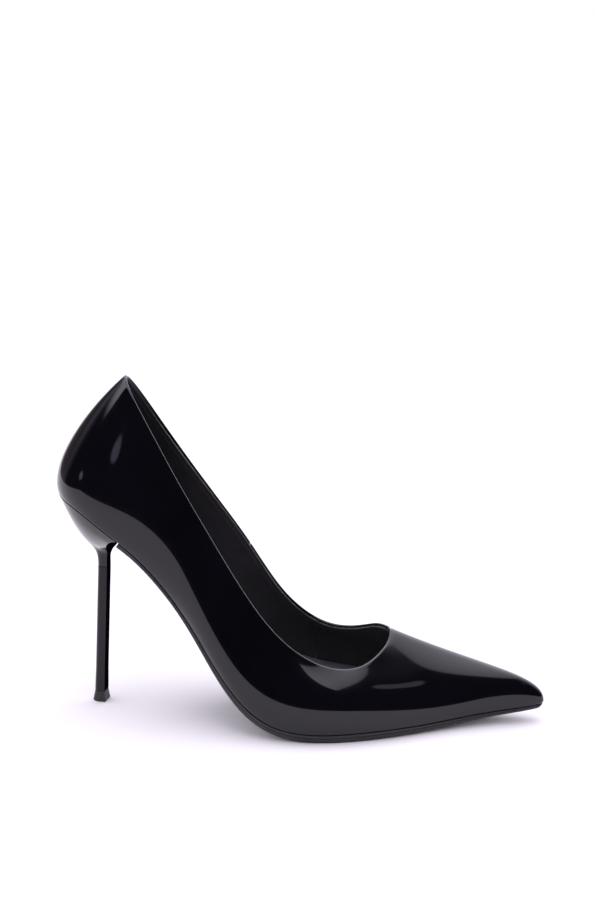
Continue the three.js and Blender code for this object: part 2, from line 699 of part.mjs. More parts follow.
// Solid cone: rings walled, foot and seat closed by strips from side to side.
function coneSolid(rings) {
  const count = rings[0].length;
  const vertices = rings.flat().map((p) => [p.x, p.y, p.z]);
  const faces = [];
  for (let i = 0; i < rings.length - 1; i++) {
    for (let j = 0; j < count; j++) {
      const a = i * count + j;
      const b = i * count + (j + 1) % count;
      faces.push([a, b, b + count], [a, b + count, a + count]);
    }
  }
  const closeRing = (base, up) => {
    for (let j = 0; j < count / 2; j++) {
      const [l0, l1] = [base + j, base + j + 1];
      const [r0, r1] = [base + (count - j) % count, base + (count - j - 1) % count];
      const strip = [[l0, r0, r1], [l0, r1, l1]];
      faces.push(...(up ? strip.map(([a, b, c]) => [a, c, b]) : strip));
    }
  };
  closeRing(0, false);
  closeRing((rings.length - 1) * count, true);
  return solidGeometry(vertices, faces);
}

function coneShell(outside, inside) {
  const columns = (rings) => rings[0].map((_, j) => rings.map((ring) => ring[j]));
  return slab(columns(outside), columns(inside), { wrap: true });
}

// Level section of the stem at height z: a round back, straight sides and a flat front.
function stemSection(z, scale) {
  const axis = stemAt(z);
  return Array.from({ length: 2 * sectionSteps }, (_, i) => {
    const u = i <= sectionSteps ? i / sectionSteps : 2 - i / sectionSteps;
    const side = i <= sectionSteps ? -1 : 1;
    const { along, across } = sectionShape(u, 0, 0);
    const p = new THREE.Vector3(axis.x + (along - 0.5) * stem.depth * scale,
      side * across * stem.width / 2 * scale, z);
    return turnOutwards(p, axis, 1);
  });
}

const dowelHead = neckHeight + dowel.intoCone;
const dowelBore = turned(rod(dowel.outer + fit, -1, dowelHead + rest), stemAt(0), stemDirection);

function addHeel() {
  const inner = coneRings(coverThickness + skin.gap);
  const well = [...wellCutters(insoleHigh), dowelBore];
  add('heel_block', drill(coneSolid(inner), well), materials.heelPlastic);
  add('heel_cover', coneShell(coneRings(0), coneRings(coverThickness)),
    materials.patent);

  const stemFoot = topPiece.height + rest;
  const stemHead = neckHeight - rest;
  const sleeve = [[stemFoot, stem.flare], [stemFoot + 12, 1], [stemHead, 1]]
    .map(([z, scale]) => stemSection(z, scale));
  add('heel_stem', drill(coneSolid(sleeve), [dowelBore]), materials.stem);
  const tube = [[dowel.bore, dowel.foot], [dowel.outer, dowel.foot], [dowel.outer, dowelHead],
    [dowel.bore, dowelHead], [dowel.bore, dowel.foot]];
  add('heel_dowel', turned(tube, stemAt(0), stemDirection), materials.steel);
}

function addTopPiece() {
  const centre = stemAt(0);
  const { radius, headRadius, headHeight, floor, length } = liftPin;
  const hole = [[0, floor - fit], [headRadius + fit, floor - fit],
    [headRadius + fit, floor + headHeight + fit], [radius + fit, floor + headHeight + fit],
    [radius + fit, topPiece.height + 1], [0, topPiece.height + 1]];
  const foot = stem.flare * topPiece.flare;
  const lift = [[0, foot * 0.93], [0.4, foot], [topPiece.height, stem.flare]]
    .map(([z, scale]) => stemSection(z, scale));
  add('top_piece', drill(coneSolid(lift), [turned(hole, centre, stemDirection)]), materials.rubber);
  const pin = [[0, floor], [headRadius, floor], [headRadius, floor + headHeight],
    [radius, floor + headHeight], [radius, floor + length - 1], [radius * 0.6, floor + length],
    [0, floor + length]];
  add('top_piece_pin', turned(pin, centre, stemDirection, 16), materials.steel);
}

function addFasteners() {
  const top = insoleHigh - 0.1;
  nailAxes.forEach((axis, i) => {
    const tip = top - nail.length;
    const profile = [[0, tip], [nail.radius, tip + 2], [nail.radius, top - nail.headHeight],
      [nail.head, top - nail.headHeight], [nail.head, top], [0, top]];
    add(`heel_nail_${i + 1}`, turned(profile, axis.origin, axis.direction, 10), materials.steel);
  });
  const tip = top - screw.length;
  const profile = [[0, tip], [screw.radius, tip + 4], [screw.radius, top - screw.headHeight],
    [screw.head, top - 0.3], [screw.head, top], [0, top]];
  add('heel_screw', turned(profile, screwAxis.origin, screwAxis.direction, 16), materials.steel);
}

// ---------------------------------------------------------------- the shoe

addUpper();
addStiffeners();
addLinings();
addInsole();
addSockAndFoam();
addShank();
addFiller();
addOutsole();
addHeel();
addTopPiece();
addFasteners();

// Origin at the middle of the box, on the floor.
const box = new THREE.Box3().setFromObject(shoe);
shoe.position.set(-(box.min.x + box.max.x) / 2, -(box.min.y + box.max.y) / 2, -box.min.z);

export default shoe;
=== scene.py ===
"""Pointed high heel pump in black patent leather, right shoe.

The shoe is drawn on its last, in millimetres: a closed ring of ribs that stand on the feather
edge, the lower outer edge of the upper, and end at the topline, the rim of the opening.
"""
import math

import bmesh
import bpy
import numpy as np
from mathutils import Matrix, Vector


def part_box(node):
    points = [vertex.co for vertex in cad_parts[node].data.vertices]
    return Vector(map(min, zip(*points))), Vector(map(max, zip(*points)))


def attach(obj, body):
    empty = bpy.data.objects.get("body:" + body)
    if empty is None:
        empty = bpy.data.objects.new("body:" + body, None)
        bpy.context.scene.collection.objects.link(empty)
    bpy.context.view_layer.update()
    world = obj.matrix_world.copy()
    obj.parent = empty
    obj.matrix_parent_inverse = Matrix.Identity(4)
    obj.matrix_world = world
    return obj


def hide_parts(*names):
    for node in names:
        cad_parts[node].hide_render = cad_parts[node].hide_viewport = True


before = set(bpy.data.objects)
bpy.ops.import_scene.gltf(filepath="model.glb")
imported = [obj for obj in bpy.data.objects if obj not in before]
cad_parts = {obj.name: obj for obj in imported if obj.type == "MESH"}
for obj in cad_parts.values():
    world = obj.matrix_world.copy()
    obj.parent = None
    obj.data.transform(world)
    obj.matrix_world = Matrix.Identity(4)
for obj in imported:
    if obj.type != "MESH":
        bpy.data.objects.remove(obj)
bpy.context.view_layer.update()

bl_info = {
    "name": "High heel pump",
    "version": (1, 0, 0),
    "blender": (4, 5, 0),
    "location": "3D View > Sidebar > Pump",
    "description": "Builds a pointed patent pump round its last, with its finishes and its studio",
    "category": "Add Mesh",
}

MM = 0.001

# ---------------------------------------------------------------- outlines of the last

# Bottom of the lasted upper along the shoe: x, z.
BOTTOM_LINE = [
    (-19, 104.6), (-7, 101.4), (8, 91.8), (22, 80.4), (36, 64.8), (50, 47.1), (64, 28.3),
    (78, 14.2), (92, 7.1), (108, 4.7), (130, 4.8), (160, 5.3), (185, 7.2), (212, 9.6)]

# Ribs from the back, along the outer side to the tip, and back along the inner side:
# feather edge x, y and topline x, y, z.
RIBS = [
    (-18.2, 0.0, 14.0, 0.0, 161.5),
    (-11.9, -14.7, 18.6, -8.3, 154.9),
    (3.0, -22.3, 29.4, -13.8, 138.0),
    (21.0, -21.8, 41.6, -16.6, 117.0),
    (40.0, -21.4, 54.3, -20.0, 96.9),
    (59.0, -29.3, 68.4, -23.8, 75.7),
    (77.0, -37.0, 83.6, -27.6, 55.8),
    (96.0, -39.9, 99.0, -29.4, 41.9),
    (117.0, -37.4, 113.6, -28.0, 34.6),
    (138.0, -29.5, 125.4, -23.2, 32.9),
    (160.0, -17.0, 132.7, -16.4, 34.9),
    (182.0, -4.6, 136.9, -9.4, 38.0),
    (202.8, 3.4, 138.6, -2.8, 40.8),
    (210.0, 8.4, 138.5, 3.2, 43.3),
    (204.3, 13.2, 137.2, 8.4, 42.4),
    (184.0, 15.6, 133.6, 13.0, 42.0),
    (162.0, 19.8, 128.6, 17.6, 40.6),
    (140.0, 26.2, 121.6, 22.8, 37.4),
    (118.0, 33.0, 110.5, 27.8, 34.8),
    (97.0, 36.0, 97.5, 29.6, 38.0),
    (78.0, 31.5, 82.5, 28.0, 51.6),
    (60.0, 22.5, 68.3, 23.4, 74.9),
    (41.0, 18.5, 54.5, 18.8, 96.8),
    (21.5, 20.0, 41.0, 15.0, 117.4),
    (3.0, 21.6, 28.6, 12.4, 136.5),
    (-11.9, 14.3, 18.2, 7.6, 154.0)]

# How a rib swells between foot and top, by its share of the way from back (0) to tip (1):
# lower guide point (share of the chord, outward, up), upper guide point (share of the chord
# back from the top, outward, up), and the width of the margin turned in under the foot.
SWELL = [
    (0.00, 0.22, 11.2, 0.0, 0.34, 10.2, 0.0, 9.0),
    (0.08, 0.25, 10.8, 0.0, 0.34, 8.2, 0.0, 9.5),
    (0.16, 0.30, 8.8, 0.0, 0.34, 5.5, 0.0, 10.0),
    (0.32, 0.30, 7.0, 0.0, 0.30, 3.5, 0.0, 10.0),
    (0.48, 0.28, 7.5, 2.5, 0.30, 4.5, 0.0, 10.0),
    (0.62, 0.18, 6.0, 8.0, 0.32, 6.5, 0.5, 10.0),
    (0.76, 0.05, 3.5, 11.0, 0.38, 3.5, 1.6, 7.5),
    (0.90, 0.00, 1.6, 13.0, 0.54, 0.5, 2.0, 4.6),
    (1.00, 0.00, 1.0, 13.8, 0.62, 0.0, 3.0, 4.1)]

# Heel cone from the neck (0) to the seat (1): back x, z and breast x, z, half width.
# Heights are drops from the feather edge at the back.
HEEL_HEIGHT = 103.4
CONE_DROP = 35.4
STEM_LEAN = math.radians(2.1)
STEM_DEPTH, STEM_WIDTH, STEM_FLARE = 5.2, 5.7, 1.06
STEM_TURN = math.radians(6)
TOP_PIECE_HEIGHT, TOP_PIECE_FLARE = 5.0, 1.26
BREAST_X = 14.0
NECK_HEIGHT = HEEL_HEIGHT - CONE_DROP
NECK_X = math.tan(STEM_LEAN) * NECK_HEIGHT
CONE = [
    (0.00, NECK_X - STEM_DEPTH / 2, CONE_DROP, NECK_X + STEM_DEPTH / 2, CONE_DROP, STEM_WIDTH / 2),
    (0.17, -0.5, 30.6, 5.6, 31.0, STEM_WIDTH / 2 + 0.3),
    (0.33, -2.2, 26.6, 6.6, 28.0, 4.6),
    (0.50, -5.8, 21.8, 7.9, 26.0, 8.0),
    (0.67, -10.6, 15.0, 9.8, 24.4, 12.8),
    (0.84, -15.2, 6.2, 11.3, 21.6, 18.2),
    (1.00, -18.0, 0.2, BREAST_X - 0.6, 17.0, 21.6)]
SEAT_HALF_WIDTH = 21.9
SEAT_GAP = 0.4

# Outsole thickness along the shoe.
WAIST, BALL, TOE = 3.0, 4.6, 2.5
SOLE = [(BREAST_X, WAIST), (60, WAIST), (80, WAIST + 0.6 * (BALL - WAIST)), (104, BALL),
        (140, BALL), (180, BALL + 0.55 * (TOE - BALL)), (210, TOE)]

# Places round the ring, counted in ribs, and depths in the wall of the upper.
RIB_COUNT = len(RIBS)
TIP_RIB = 13
SIDE_SEAM_RIB = 21
LINING_SEAM_RIBS = (7, 19)
OUTER = 1.0
LINING_DEPTH, LINING = 1.84, 0.6
WALL = LINING_DEPTH + LINING
CORNER_HEIGHT = 5.6
SOCK_LOW, SOCK_HIGH = 7.14, 7.94                 # heights over the bottom of the upper
FOAM_LOW, FOAM_HIGH = 4.84, 6.84
SOCK_INSET, FOAM_INSET = WALL + 0.2, WALL + 0.5   # in from the outer face


# ---------------------------------------------------------------- curves

def closed_curve(points):
    """Smooth closed curve through the points; its parameter runs 0..1 once round."""
    points = np.asarray(points, float)
    count = len(points)
    same = np.eye(count)
    matrix = 4 * same + np.roll(same, 1, axis=1) + np.roll(same, -1, axis=1)
    slopes = np.linalg.solve(matrix, 3 * (np.roll(points, -1, axis=0) - np.roll(points, 1, axis=0)))

    def at(t):
        place = np.mod(t, 1.0) * count
        i = np.floor(place).astype(int) % count
        j = (i + 1) % count
        u = (place - np.floor(place))[..., None]
        return ((2 * u ** 3 - 3 * u * u + 1) * points[i] + (u ** 3 - 2 * u * u + u) * slopes[i]
                + (3 * u * u - 2 * u ** 3) * points[j] + (u ** 3 - u * u) * slopes[j])
    return at


def open_curve(rows):
    """Smooth open curve: rows of (place, value, value, ...) with rising places."""
    rows = np.asarray(rows, float)
    places, values = rows[:, 0], rows[:, 1:]
    count = len(rows)
    step = np.diff(places)
    matrix = np.eye(count)
    right = np.zeros_like(values)
    for i in range(1, count - 1):
        matrix[i, i - 1:i + 2] = step[i - 1], 2 * (step[i - 1] + step[i]), step[i]
        right[i] = 6 * ((values[i + 1] - values[i]) / step[i]
                        - (values[i] - values[i - 1]) / step[i - 1])
    bend = np.linalg.solve(matrix, right)

    def at(x):
        x = np.asarray(x, float)
        i = np.clip(np.searchsorted(places, x, side="left") - 1, 0, count - 2)
        h = step[i][..., None]
        d = (x - places[i])[..., None]
        e = (places[i + 1] - x)[..., None]
        return (bend[i] * e ** 3 / (6 * h) + bend[i + 1] * d ** 3 / (6 * h)
                + (values[i] / h - bend[i] * h / 6) * e
                + (values[i + 1] / h - bend[i + 1] * h / 6) * d)
    return at


def smooth(x):
    s = np.clip(x, 0, 1)
    return s * s * (3 - 2 * s)


def unit(v):
    return v / np.linalg.norm(v, axis=-1, keepdims=True)


def dot(a, b):
    return np.sum(a * b, axis=-1, keepdims=True)


def points(x, y, z):
    return np.stack(np.broadcast_arrays(x, y, z), axis=-1).astype(float)


# ---------------------------------------------------------------- the last

def mirrored(row, end):
    return (2 * end - row[0], *row[1:])


bottom_curve = open_curve(BOTTOM_LINE)
feather_curve = closed_curve([row[:2] for row in RIBS])
topline_curve = closed_curve([row[2:] for row in RIBS])
swell_curve = open_curve([mirrored(SWELL[1], 0), *SWELL, mirrored(SWELL[-2], 1)])
cone_curve = open_curve(CONE)
sole_curve = open_curve(SOLE)


def bottom_z(x):
    return bottom_curve(x)[..., 0]


def bottom_normal(x):
    """Unit normal of the bottom, pointing up into the shoe."""
    slope = bottom_z(x + 0.5) - bottom_z(x - 0.5)
    return unit(points(-slope, 0 * slope, 1))


def over_bottom(x, y, height):
    """Point at a height over the bottom, measured square to it."""
    return points(x, y, bottom_z(x)) + bottom_normal(x) * np.asarray(height)[..., None]


class Rib:
    """Ribs at the places t round the ring."""

    def __init__(self, t):
        t = np.asarray(t, float)
        turn = 1e-4
        feather = feather_curve(t)
        run = feather_curve(t + turn) - feather_curve(t - turn)
        self.foot = points(feather[..., 0], feather[..., 1], bottom_z(feather[..., 0]))
        self.top = topline_curve(t)
        self.out = unit(points(run[..., 1], -run[..., 0], 0))
        place = np.mod(t, 1.0)
        tip = TIP_RIB / RIB_COUNT
        along = np.where(place <= tip, place / tip, (1 - place) / (1 - tip))
        keep0, out0, up0, keep1, out1, up1, self.turned = np.moveaxis(swell_curve(along), -1, 0)
        chord = self.top - self.foot
        rise = np.array([0.0, 0.0, 1.0])
        self.low = self.foot + chord * keep0[..., None] + self.out * out0[..., None]
        self.low = self.low + rise * up0[..., None]
        self.high = self.top - chord * keep1[..., None] + self.out * out1[..., None]
        self.high = self.high + rise * up1[..., None]


def outer_face(t, v):
    """Outer face of the upper: t round the ring, v from the foot (0) to the topline (1)."""
    rib = Rib(t)
    v = np.asarray(v, float)[..., None]
    w = 1 - v
    return rib.foot * w ** 3 + rib.low * 3 * v * w * w + rib.high * 3 * v * v * w + rib.top * v ** 3


FINE = 1e-3                      # step over which slopes are measured


def outer_normal(t, v):
    along = outer_face(t + FINE, v) - outer_face(t - FINE, v)
    up = outer_face(t, np.minimum(v + FINE, 1)) - outer_face(t, np.maximum(v - FINE, 0))
    return unit(np.cross(along, up))


def in_upper(t, place, depth):
    """Point of the lasted upper at a depth under its outer face.

    Places from -1 to 0 lie on the margin turned in under the foot, 0 to 1 on the wall.
    """
    rib = Rib(t)
    depth = np.asarray(depth, float)
    place = np.asarray(place, float)
    reach = rib.turned * np.minimum(place, 0)
    margin = over_bottom(rib.foot[..., 0] + rib.out[..., 0] * reach,
                         rib.foot[..., 1] + rib.out[..., 1] * reach, depth)
    v = np.clip(place, 0, 1)
    face = outer_face(t, v)
    raised = np.minimum(1, np.linalg.norm(face - rib.foot, axis=-1) / CORNER_HEIGHT)[..., None]
    up = bottom_normal(rib.foot[..., 0])
    level = unit(rib.out - up * dot(rib.out, up))
    blend = smooth(raised)
    way = unit(level * (1 - blend) + outer_normal(t, v) * blend)
    wall = face - way * depth[..., None] + up * depth[..., None] * (1 - raised)
    return np.where(place[..., None] < 0, margin, wall)


def wall_edge(t, height, depth):
    """Point in the wall at that depth, at a height over the bottom."""
    foot = Rib(t).foot
    up = bottom_normal(foot[..., 0])
    low = np.zeros_like(t)
    high = np.full_like(t, 0.5)
    for _ in range(16):
        middle = (low + high) / 2
        below = dot(in_upper(t, middle, depth) - foot, up)[..., 0] < height
        low = np.where(below, middle, low)
        high = np.where(below, high, middle)
    edge = in_upper(t, low, depth)
    return edge + up * (height - dot(edge - foot, up))


def feather_edge(t, height, inset):
    """Point that far in from the feather edge, at a height over the bottom."""
    rib = Rib(t)
    return over_bottom(rib.foot[..., 0] - rib.out[..., 0] * inset,
                       rib.foot[..., 1] - rib.out[..., 1] * inset, height)


def rib_at_x(x):
    """Rib, counted on the outer side, whose foot lies at x."""
    ribs = np.linspace(0, TIP_RIB, 4001)
    return float(np.interp(x, Rib(ribs / RIB_COUNT).foot[:, 0], ribs))


# ---------------------------------------------------------------- meshes

def last_origin():
    """Place of the last's origin, under the middle of the heel tip, in the frame."""
    low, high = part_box("top_piece")
    return np.array([(low[0] + high[0]) / 2, (low[1] + high[1]) / 2, 0.0])


ORIGIN = last_origin()


def to_frame(last_points):
    return np.asarray(last_points) * MM + ORIGIN


def shell_faces(rows, columns, wrap):
    """Quads of a closed shell between two grids of rows x columns points."""
    last_row = rows if wrap else rows - 1
    i, j = np.meshgrid(np.arange(last_row), np.arange(columns - 1), indexing="ij")
    k = (i + 1) % rows
    size = rows * columns

    def quads(*corners):
        return np.stack([np.ravel(c) for c in corners], axis=-1)
    a, b, c, d = i * columns + j, k * columns + j, k * columns + j + 1, i * columns + j + 1
    faces = [quads(a, b, c, d), quads(a + size, d + size, c + size, b + size)]
    row = np.arange(last_row)
    after = (row + 1) % rows
    first, first_after = row * columns, after * columns
    end, end_after = first + columns - 1, first_after + columns - 1
    faces.append(quads(first, first + size, first_after + size, first_after))
    faces.append(quads(end, end_after, end_after + size, end + size))
    if not wrap:
        column = np.arange(columns - 1)
        far = (rows - 1) * columns + column
        faces.append(quads(column, column + 1, column + 1 + size, column + size))
        faces.append(quads(far, far + size, far + 1 + size, far + 1))
    return np.concatenate(faces)


MERGED, SLIVER = 2e-6, 1e-7      # corners this close are one; edges this short are removed


def make_piece(name, vertices, faces, material, sharp=40):
    """Closed mesh in the frame from points of the last, with its material."""
    mesh = bpy.data.meshes.new(name)
    mesh.from_pydata(to_frame(vertices).tolist(), [], [list(map(int, f)) for f in faces])
    work = bmesh.new()
    work.from_mesh(mesh)
    bmesh.ops.remove_doubles(work, verts=work.verts, dist=MERGED)
    bmesh.ops.dissolve_degenerate(work, edges=work.edges, dist=SLIVER)
    bmesh.ops.recalc_face_normals(work, faces=work.faces)
    for face in work.faces:
        face.smooth = True
    work.to_mesh(mesh)
    work.free()
    mesh.set_sharp_from_angle(angle=math.radians(sharp))
    mesh.materials.append(material)
    piece = bpy.data.objects.new(name, mesh)
    bpy.context.scene.collection.objects.link(piece)
    return piece


def paint_front(piece, paint):
    """Gives the faces that look towards the toe their own paint."""
    piece.data.materials.append(paint)
    for face in piece.data.polygons:
        if face.normal.x > FRONT_FACING:
            face.material_index = 1


def make_shell(name, outside, inside, material, wrap=False, sharp=40):
    rows, columns = outside.shape[:2]
    vertices = np.concatenate([outside.reshape(-1, 3), inside.reshape(-1, 3)])
    return make_piece(name, vertices, shell_faces(rows, columns, wrap), material, sharp)


def settle(piece, slot, *nodes):
    """The piece belongs to the one body and stands for those nodes; its slot is not used."""
    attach(piece, "root")
    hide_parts(*nodes)


def bezier(a, b, c, steps):
    """Points of the round corner from a to c by way of b, with both ends."""
    s = np.linspace(0, 1, steps)[None, :, None]
    return a[:, None] * (1 - s) ** 2 + b[:, None] * 2 * s * (1 - s) + c[:, None] * s * s


# ---------------------------------------------------------------- wall of the upper

COLUMNS_PER_RIB = 16
WALL_ROWS = 52
MARGIN_ROWS = 6
CORNER_ROWS = 7
HEAD_ROWS = 8
SEAM_TRIM = 0.004                # half of a butt seam's gap, in ribs
SEAM_ROUND = 0.35                # rounding of a cut edge
SEAM_ENDS = SEAM_TRIM + np.array([0.0, 0.003, 0.008, 0.016, 0.03])   # ribs along that rounding
INSIDE_CORNER = 0.5              # rounding of a layer's inner face at the feather edge


def wall_grids(first, last, low, depth, thickness, head, rise, drop, corner):
    """Two facing grids of a layer of the upper between two ribs.

    low is the end of its margin.  Its top is a rounded head, head wide and reaching rise over
    the topline, that starts drop under it.  corner is the rounding at the feather edge.
    """
    whole = last - first == RIB_COUNT
    steps = round((last - first) * COLUMNS_PER_RIB)
    ribs = np.linspace(first, last, steps + 1)
    if whole:
        ribs = ribs[:-1]
        sink = np.zeros_like(ribs)
    else:
        ribs = np.concatenate([first + SEAM_ENDS, ribs[1:-1], last - SEAM_ENDS[::-1]])
        t = ribs / RIB_COUNT
        run = np.linalg.norm(np.gradient(outer_face(t, np.full_like(t, 0.5)), axis=0), axis=1)
        walked = np.concatenate([[0], np.cumsum((run[1:] + run[:-1]) / 2)])
        near = np.minimum(walked, walked[-1] - walked)
        inner = 1 - np.clip(near / SEAM_ROUND, 0, 1)
        sink = SEAM_ROUND * (1 - np.sqrt(1 - inner ** 2))
    t = (ribs / RIB_COUNT)[:, None]
    sink = sink[:, None]
    rib = Rib(t[:, 0])
    speed_low = np.linalg.norm(outer_face(t[:, 0], np.full(len(t), FINE)) - rib.foot, axis=1) / FINE
    top_way = rib.top - outer_face(t[:, 0], np.full(len(t), 1 - FINE))
    speed_high = np.linalg.norm(top_way, axis=1) / FINE
    start = (corner / speed_low)[:, None]
    end = 1 - (drop / speed_high)[:, None]

    def face(at_depth, corner_here):
        margin_end = (-corner_here / rib.turned)[:, None]
        margin = low + (margin_end - low) * np.linspace(0, 1, MARGIN_ROWS)[None, :]
        wall = start + (end - start) * np.linspace(0, 1, WALL_ROWS)[None, :]
        margin = in_upper(t, margin, at_depth + 0 * margin)
        wall = in_upper(t, wall, at_depth + 0 * wall)
        foot = in_upper(t, 0 * t, at_depth + 0 * t)[:, 0]
        turn = bezier(margin[:, -1], foot, wall[:, 0], CORNER_ROWS)[:, 1:-1]
        return np.concatenate([margin, turn, wall], axis=1)

    up = unit(top_way)[:, None]
    out = outer_normal(t, np.ones_like(t))

    def head_half(angles):
        across = depth + head / 2 * (1 - np.cos(angles))[None, :, None]
        height = -drop + (rise + drop) * np.sin(angles)[None, :, None]
        inward = np.sign(np.cos(angles))[None, :, None]
        return (rib.top[:, None] + up * (height - sink[..., None])
                - out * (across + sink[..., None] * inward))
    quarter = np.linspace(0, math.pi / 2, HEAD_ROWS + 1)
    rounding = quarter[1:-1]
    outside = np.concatenate([face(depth + sink, corner), head_half(rounding)], axis=1)
    inside = np.concatenate([face(depth + thickness, INSIDE_CORNER), head_half(math.pi - rounding)],
                            axis=1)
    return outside, inside, whole


def build_layer(strips, material, slot, **section):
    """Strips of one layer of the upper: piece, node, first and last rib."""
    for name, node, first, last in strips:
        outside, inside, whole = wall_grids(first, last, **section)
        settle(make_shell(name, outside, inside, material, whole, sharp=60), slot, node)


def build_uppers(material, fold, rise):
    """Vamp with the outer quarter, and the inner quarter, their topline folded inwards."""
    strips = [("vamp_patent", "vamp", 0, SIDE_SEAM_RIB),
              ("inside_quarter_patent", "inside_quarter", SIDE_SEAM_RIB, RIB_COUNT)]
    build_layer(strips, material, "patent", low=-1, depth=0.0, thickness=OUTER, head=fold, rise=rise,
                drop=0.55, corner=0.9)


def build_linings(material):
    front, back = LINING_SEAM_RIBS
    strips = [("vamp_lining_leather", "vamp_lining", front, back),
              ("quarter_lining_leather", "quarter_lining", back - RIB_COUNT, front)]
    build_layer(strips, material, "lining", low=-0.8, depth=LINING_DEPTH, thickness=LINING, head=LINING,
                rise=-0.35, drop=0.7, corner=0.5)


# ---------------------------------------------------------------- bottom

SHEET_STEPS, SHEET_ACROSS = 150, 22
SHEET_ROUND = 0.03               # share of the width over which a sheet's edge is rounded


def across_grids(low_height, high_height, inset, crown, edge_round):
    """Facing grids of a sheet that lies across the shoe between the walls."""
    t = np.linspace(0, TIP_RIB, SHEET_STEPS + 1) / RIB_COUNT
    share = (1 - np.cos(np.linspace(0, math.pi, SHEET_ACROSS + 1))) / 2
    near_edge = np.clip(1 - np.minimum(share, 1 - share) / SHEET_ROUND, 0, 1)

    def grid(height, lift, drop):
        left = wall_edge(t, height, inset)
        right = wall_edge(1 - t, height, inset)
        up = bottom_normal((left[:, 0] + right[:, 0]) / 2)[:, None]
        flat = left[:, None] * (1 - share)[None, :, None] + right[:, None] * share[None, :, None]
        raised = lift * (4 * share * (1 - share))[None, :, None]
        rounded = drop * (1 - np.sqrt(1 - near_edge ** 2))[None, :, None]
        return flat + up * (raised - rounded)
    return grid(low_height, 0.0, 0.0), grid(high_height, crown, edge_round)


def build_sock(material, foam):
    low, high = across_grids(SOCK_LOW, SOCK_HIGH, SOCK_INSET, -0.15, 0.45)
    sock = make_shell("sock_leather", low, high, material, sharp=50)
    settle(sock, "sock", "sock")
    low, high = across_grids(FOAM_LOW, FOAM_HIGH, FOAM_INSET, 0.15, 0.7)
    pad = make_shell("sock_cushion", low, high, foam, sharp=50)
    settle(pad, "foam", "sock_foam")


SOLE_INSET = 0.6
SOLE_BEVEL = 1.2
SOLE_LAP = 1.1                   # from the heel's breast to the outsole
REST = 0.3                       # from the upper's bottom to the outsole
GROOVE_PLACE = 0.42              # share of the edge's height over the groove
SOLE_ROUND = 0.45                # rounding of the outsole's edges
SOLE_STEPS, SOLE_ACROSS = 180, 12


def sole_profile(thickness, groove):
    """Edge of the outsole from the top face to the bottom face: inset, height, as two halves."""
    high, low = -REST, -thickness
    middle = high + GROOVE_PLACE * (low - high)
    slope = SOLE_BEVEL / (high - low)

    def inset(height):
        return SOLE_INSET + (high - height) * slope
    bend = [(1 - math.cos(a), 1 - math.sin(a)) for a in np.linspace(0, math.pi / 2, 5)]
    upper = [(inset(middle) + groove, middle), (inset(middle + groove), middle + groove)]
    upper += [(inset(high) + SOLE_ROUND * x, high - SOLE_ROUND * y) for x, y in bend]
    lower = [(inset(middle) + groove, middle), (inset(middle - groove), middle - groove)]
    lower += [(inset(low) + SOLE_ROUND * x, low + SOLE_ROUND * y) for x, y in bend]
    return lower, upper


def build_outsole(material, groove):
    first = rib_at_x(BREAST_X + SOLE_LAP)
    t = np.linspace(first, TIP_RIB, SOLE_STEPS + 1) / RIB_COUNT
    across = np.linspace(0, 1, SOLE_ACROSS + 1)[1:-1]
    thickness = sole_curve(Rib(t).foot[:, 0])[:, 0]
    halves = [[], []]
    for row, (place, thick) in enumerate(zip(t, thickness)):
        for half, profile in zip(halves, sole_profile(thick, groove)):
            insets, heights = np.array(profile).T
            left = feather_edge(np.full(len(insets), place), heights, insets)
            right = feather_edge(np.full(len(insets), 1 - place), heights, insets)
            flat = left[-1] + (right[-1] - left[-1]) * across[:, None]
            half.append(np.concatenate([left, flat, right[::-1]]))
    bottom, top = np.array(halves)
    for face in (bottom, top):
        face[..., 2] = np.maximum(face[..., 2], 0)
    piece = make_shell("outsole_leather", bottom, top, material, sharp=35)
    settle(piece, "sole", "outsole")


# ---------------------------------------------------------------- heel

BACK_SHARE = 0.75                # share of a half section that is back and side
ROUND_SHARE = 0.6                # share of that which is round, before the straight side
BREAST_CROWN = 0.17              # how far the breast's corners stand back, half way up
SEAT_CORNER = rib_at_x(BREAST_X) / RIB_COUNT
FRONT_FACING = 0.25              # least x of the normal of a face that is painted as the front
CONE_STEPS = 60
COVER_CORNER, CORE_CORNER = 0.7, 0.5   # rounding of the breast's edges, outside and inside the cover
STEM_CORNER = 0.5                # rounding of the stem's front edges
STEM_GAP = 0.12                  # the stem stops this far short of the cone and of the top piece


def section_shape(u, w, squareness):
    """Shares along and across of a half section, from mid back (0) to mid breast (1)."""
    share = np.minimum(u / BACK_SHARE, 1)
    angle = np.minimum(share / ROUND_SHARE, 1) * math.pi / 2
    straight = np.maximum(0, (share - ROUND_SHARE) / (1 - ROUND_SHARE))
    foot = feather_curve(SEAT_CORNER * share)
    back = feather_curve(np.array(0.0))[0]
    seat_along = (foot[..., 0] - back) / (BREAST_X - back)
    seat_across = np.abs(foot[..., 1]) / SEAT_HALF_WIDTH
    to_middle = np.minimum(1, (1 - u) / (1 - BACK_SHARE))
    crown = BREAST_CROWN * np.sin(math.pi * w)
    along = (1 - np.cos(angle)) / 2 + straight / 2
    along = along + (seat_along - along) * squareness
    across = np.sin(angle) + (seat_across - np.sin(angle)) * squareness
    return along * (1 - crown) + crown * (1 - to_middle ** 2), across * to_middle


def turn_outwards(p, centre, share):
    """Turns points about an upright axis by a share of the stem's turn."""
    angle = -STEM_TURN * share
    dx, dy = p[:, 0] - centre[0], p[:, 1] - centre[1]
    return points(centre[0] + dx * math.cos(angle) - dy * math.sin(angle),
                  centre[1] + dx * math.sin(angle) + dy * math.cos(angle), p[:, 2])


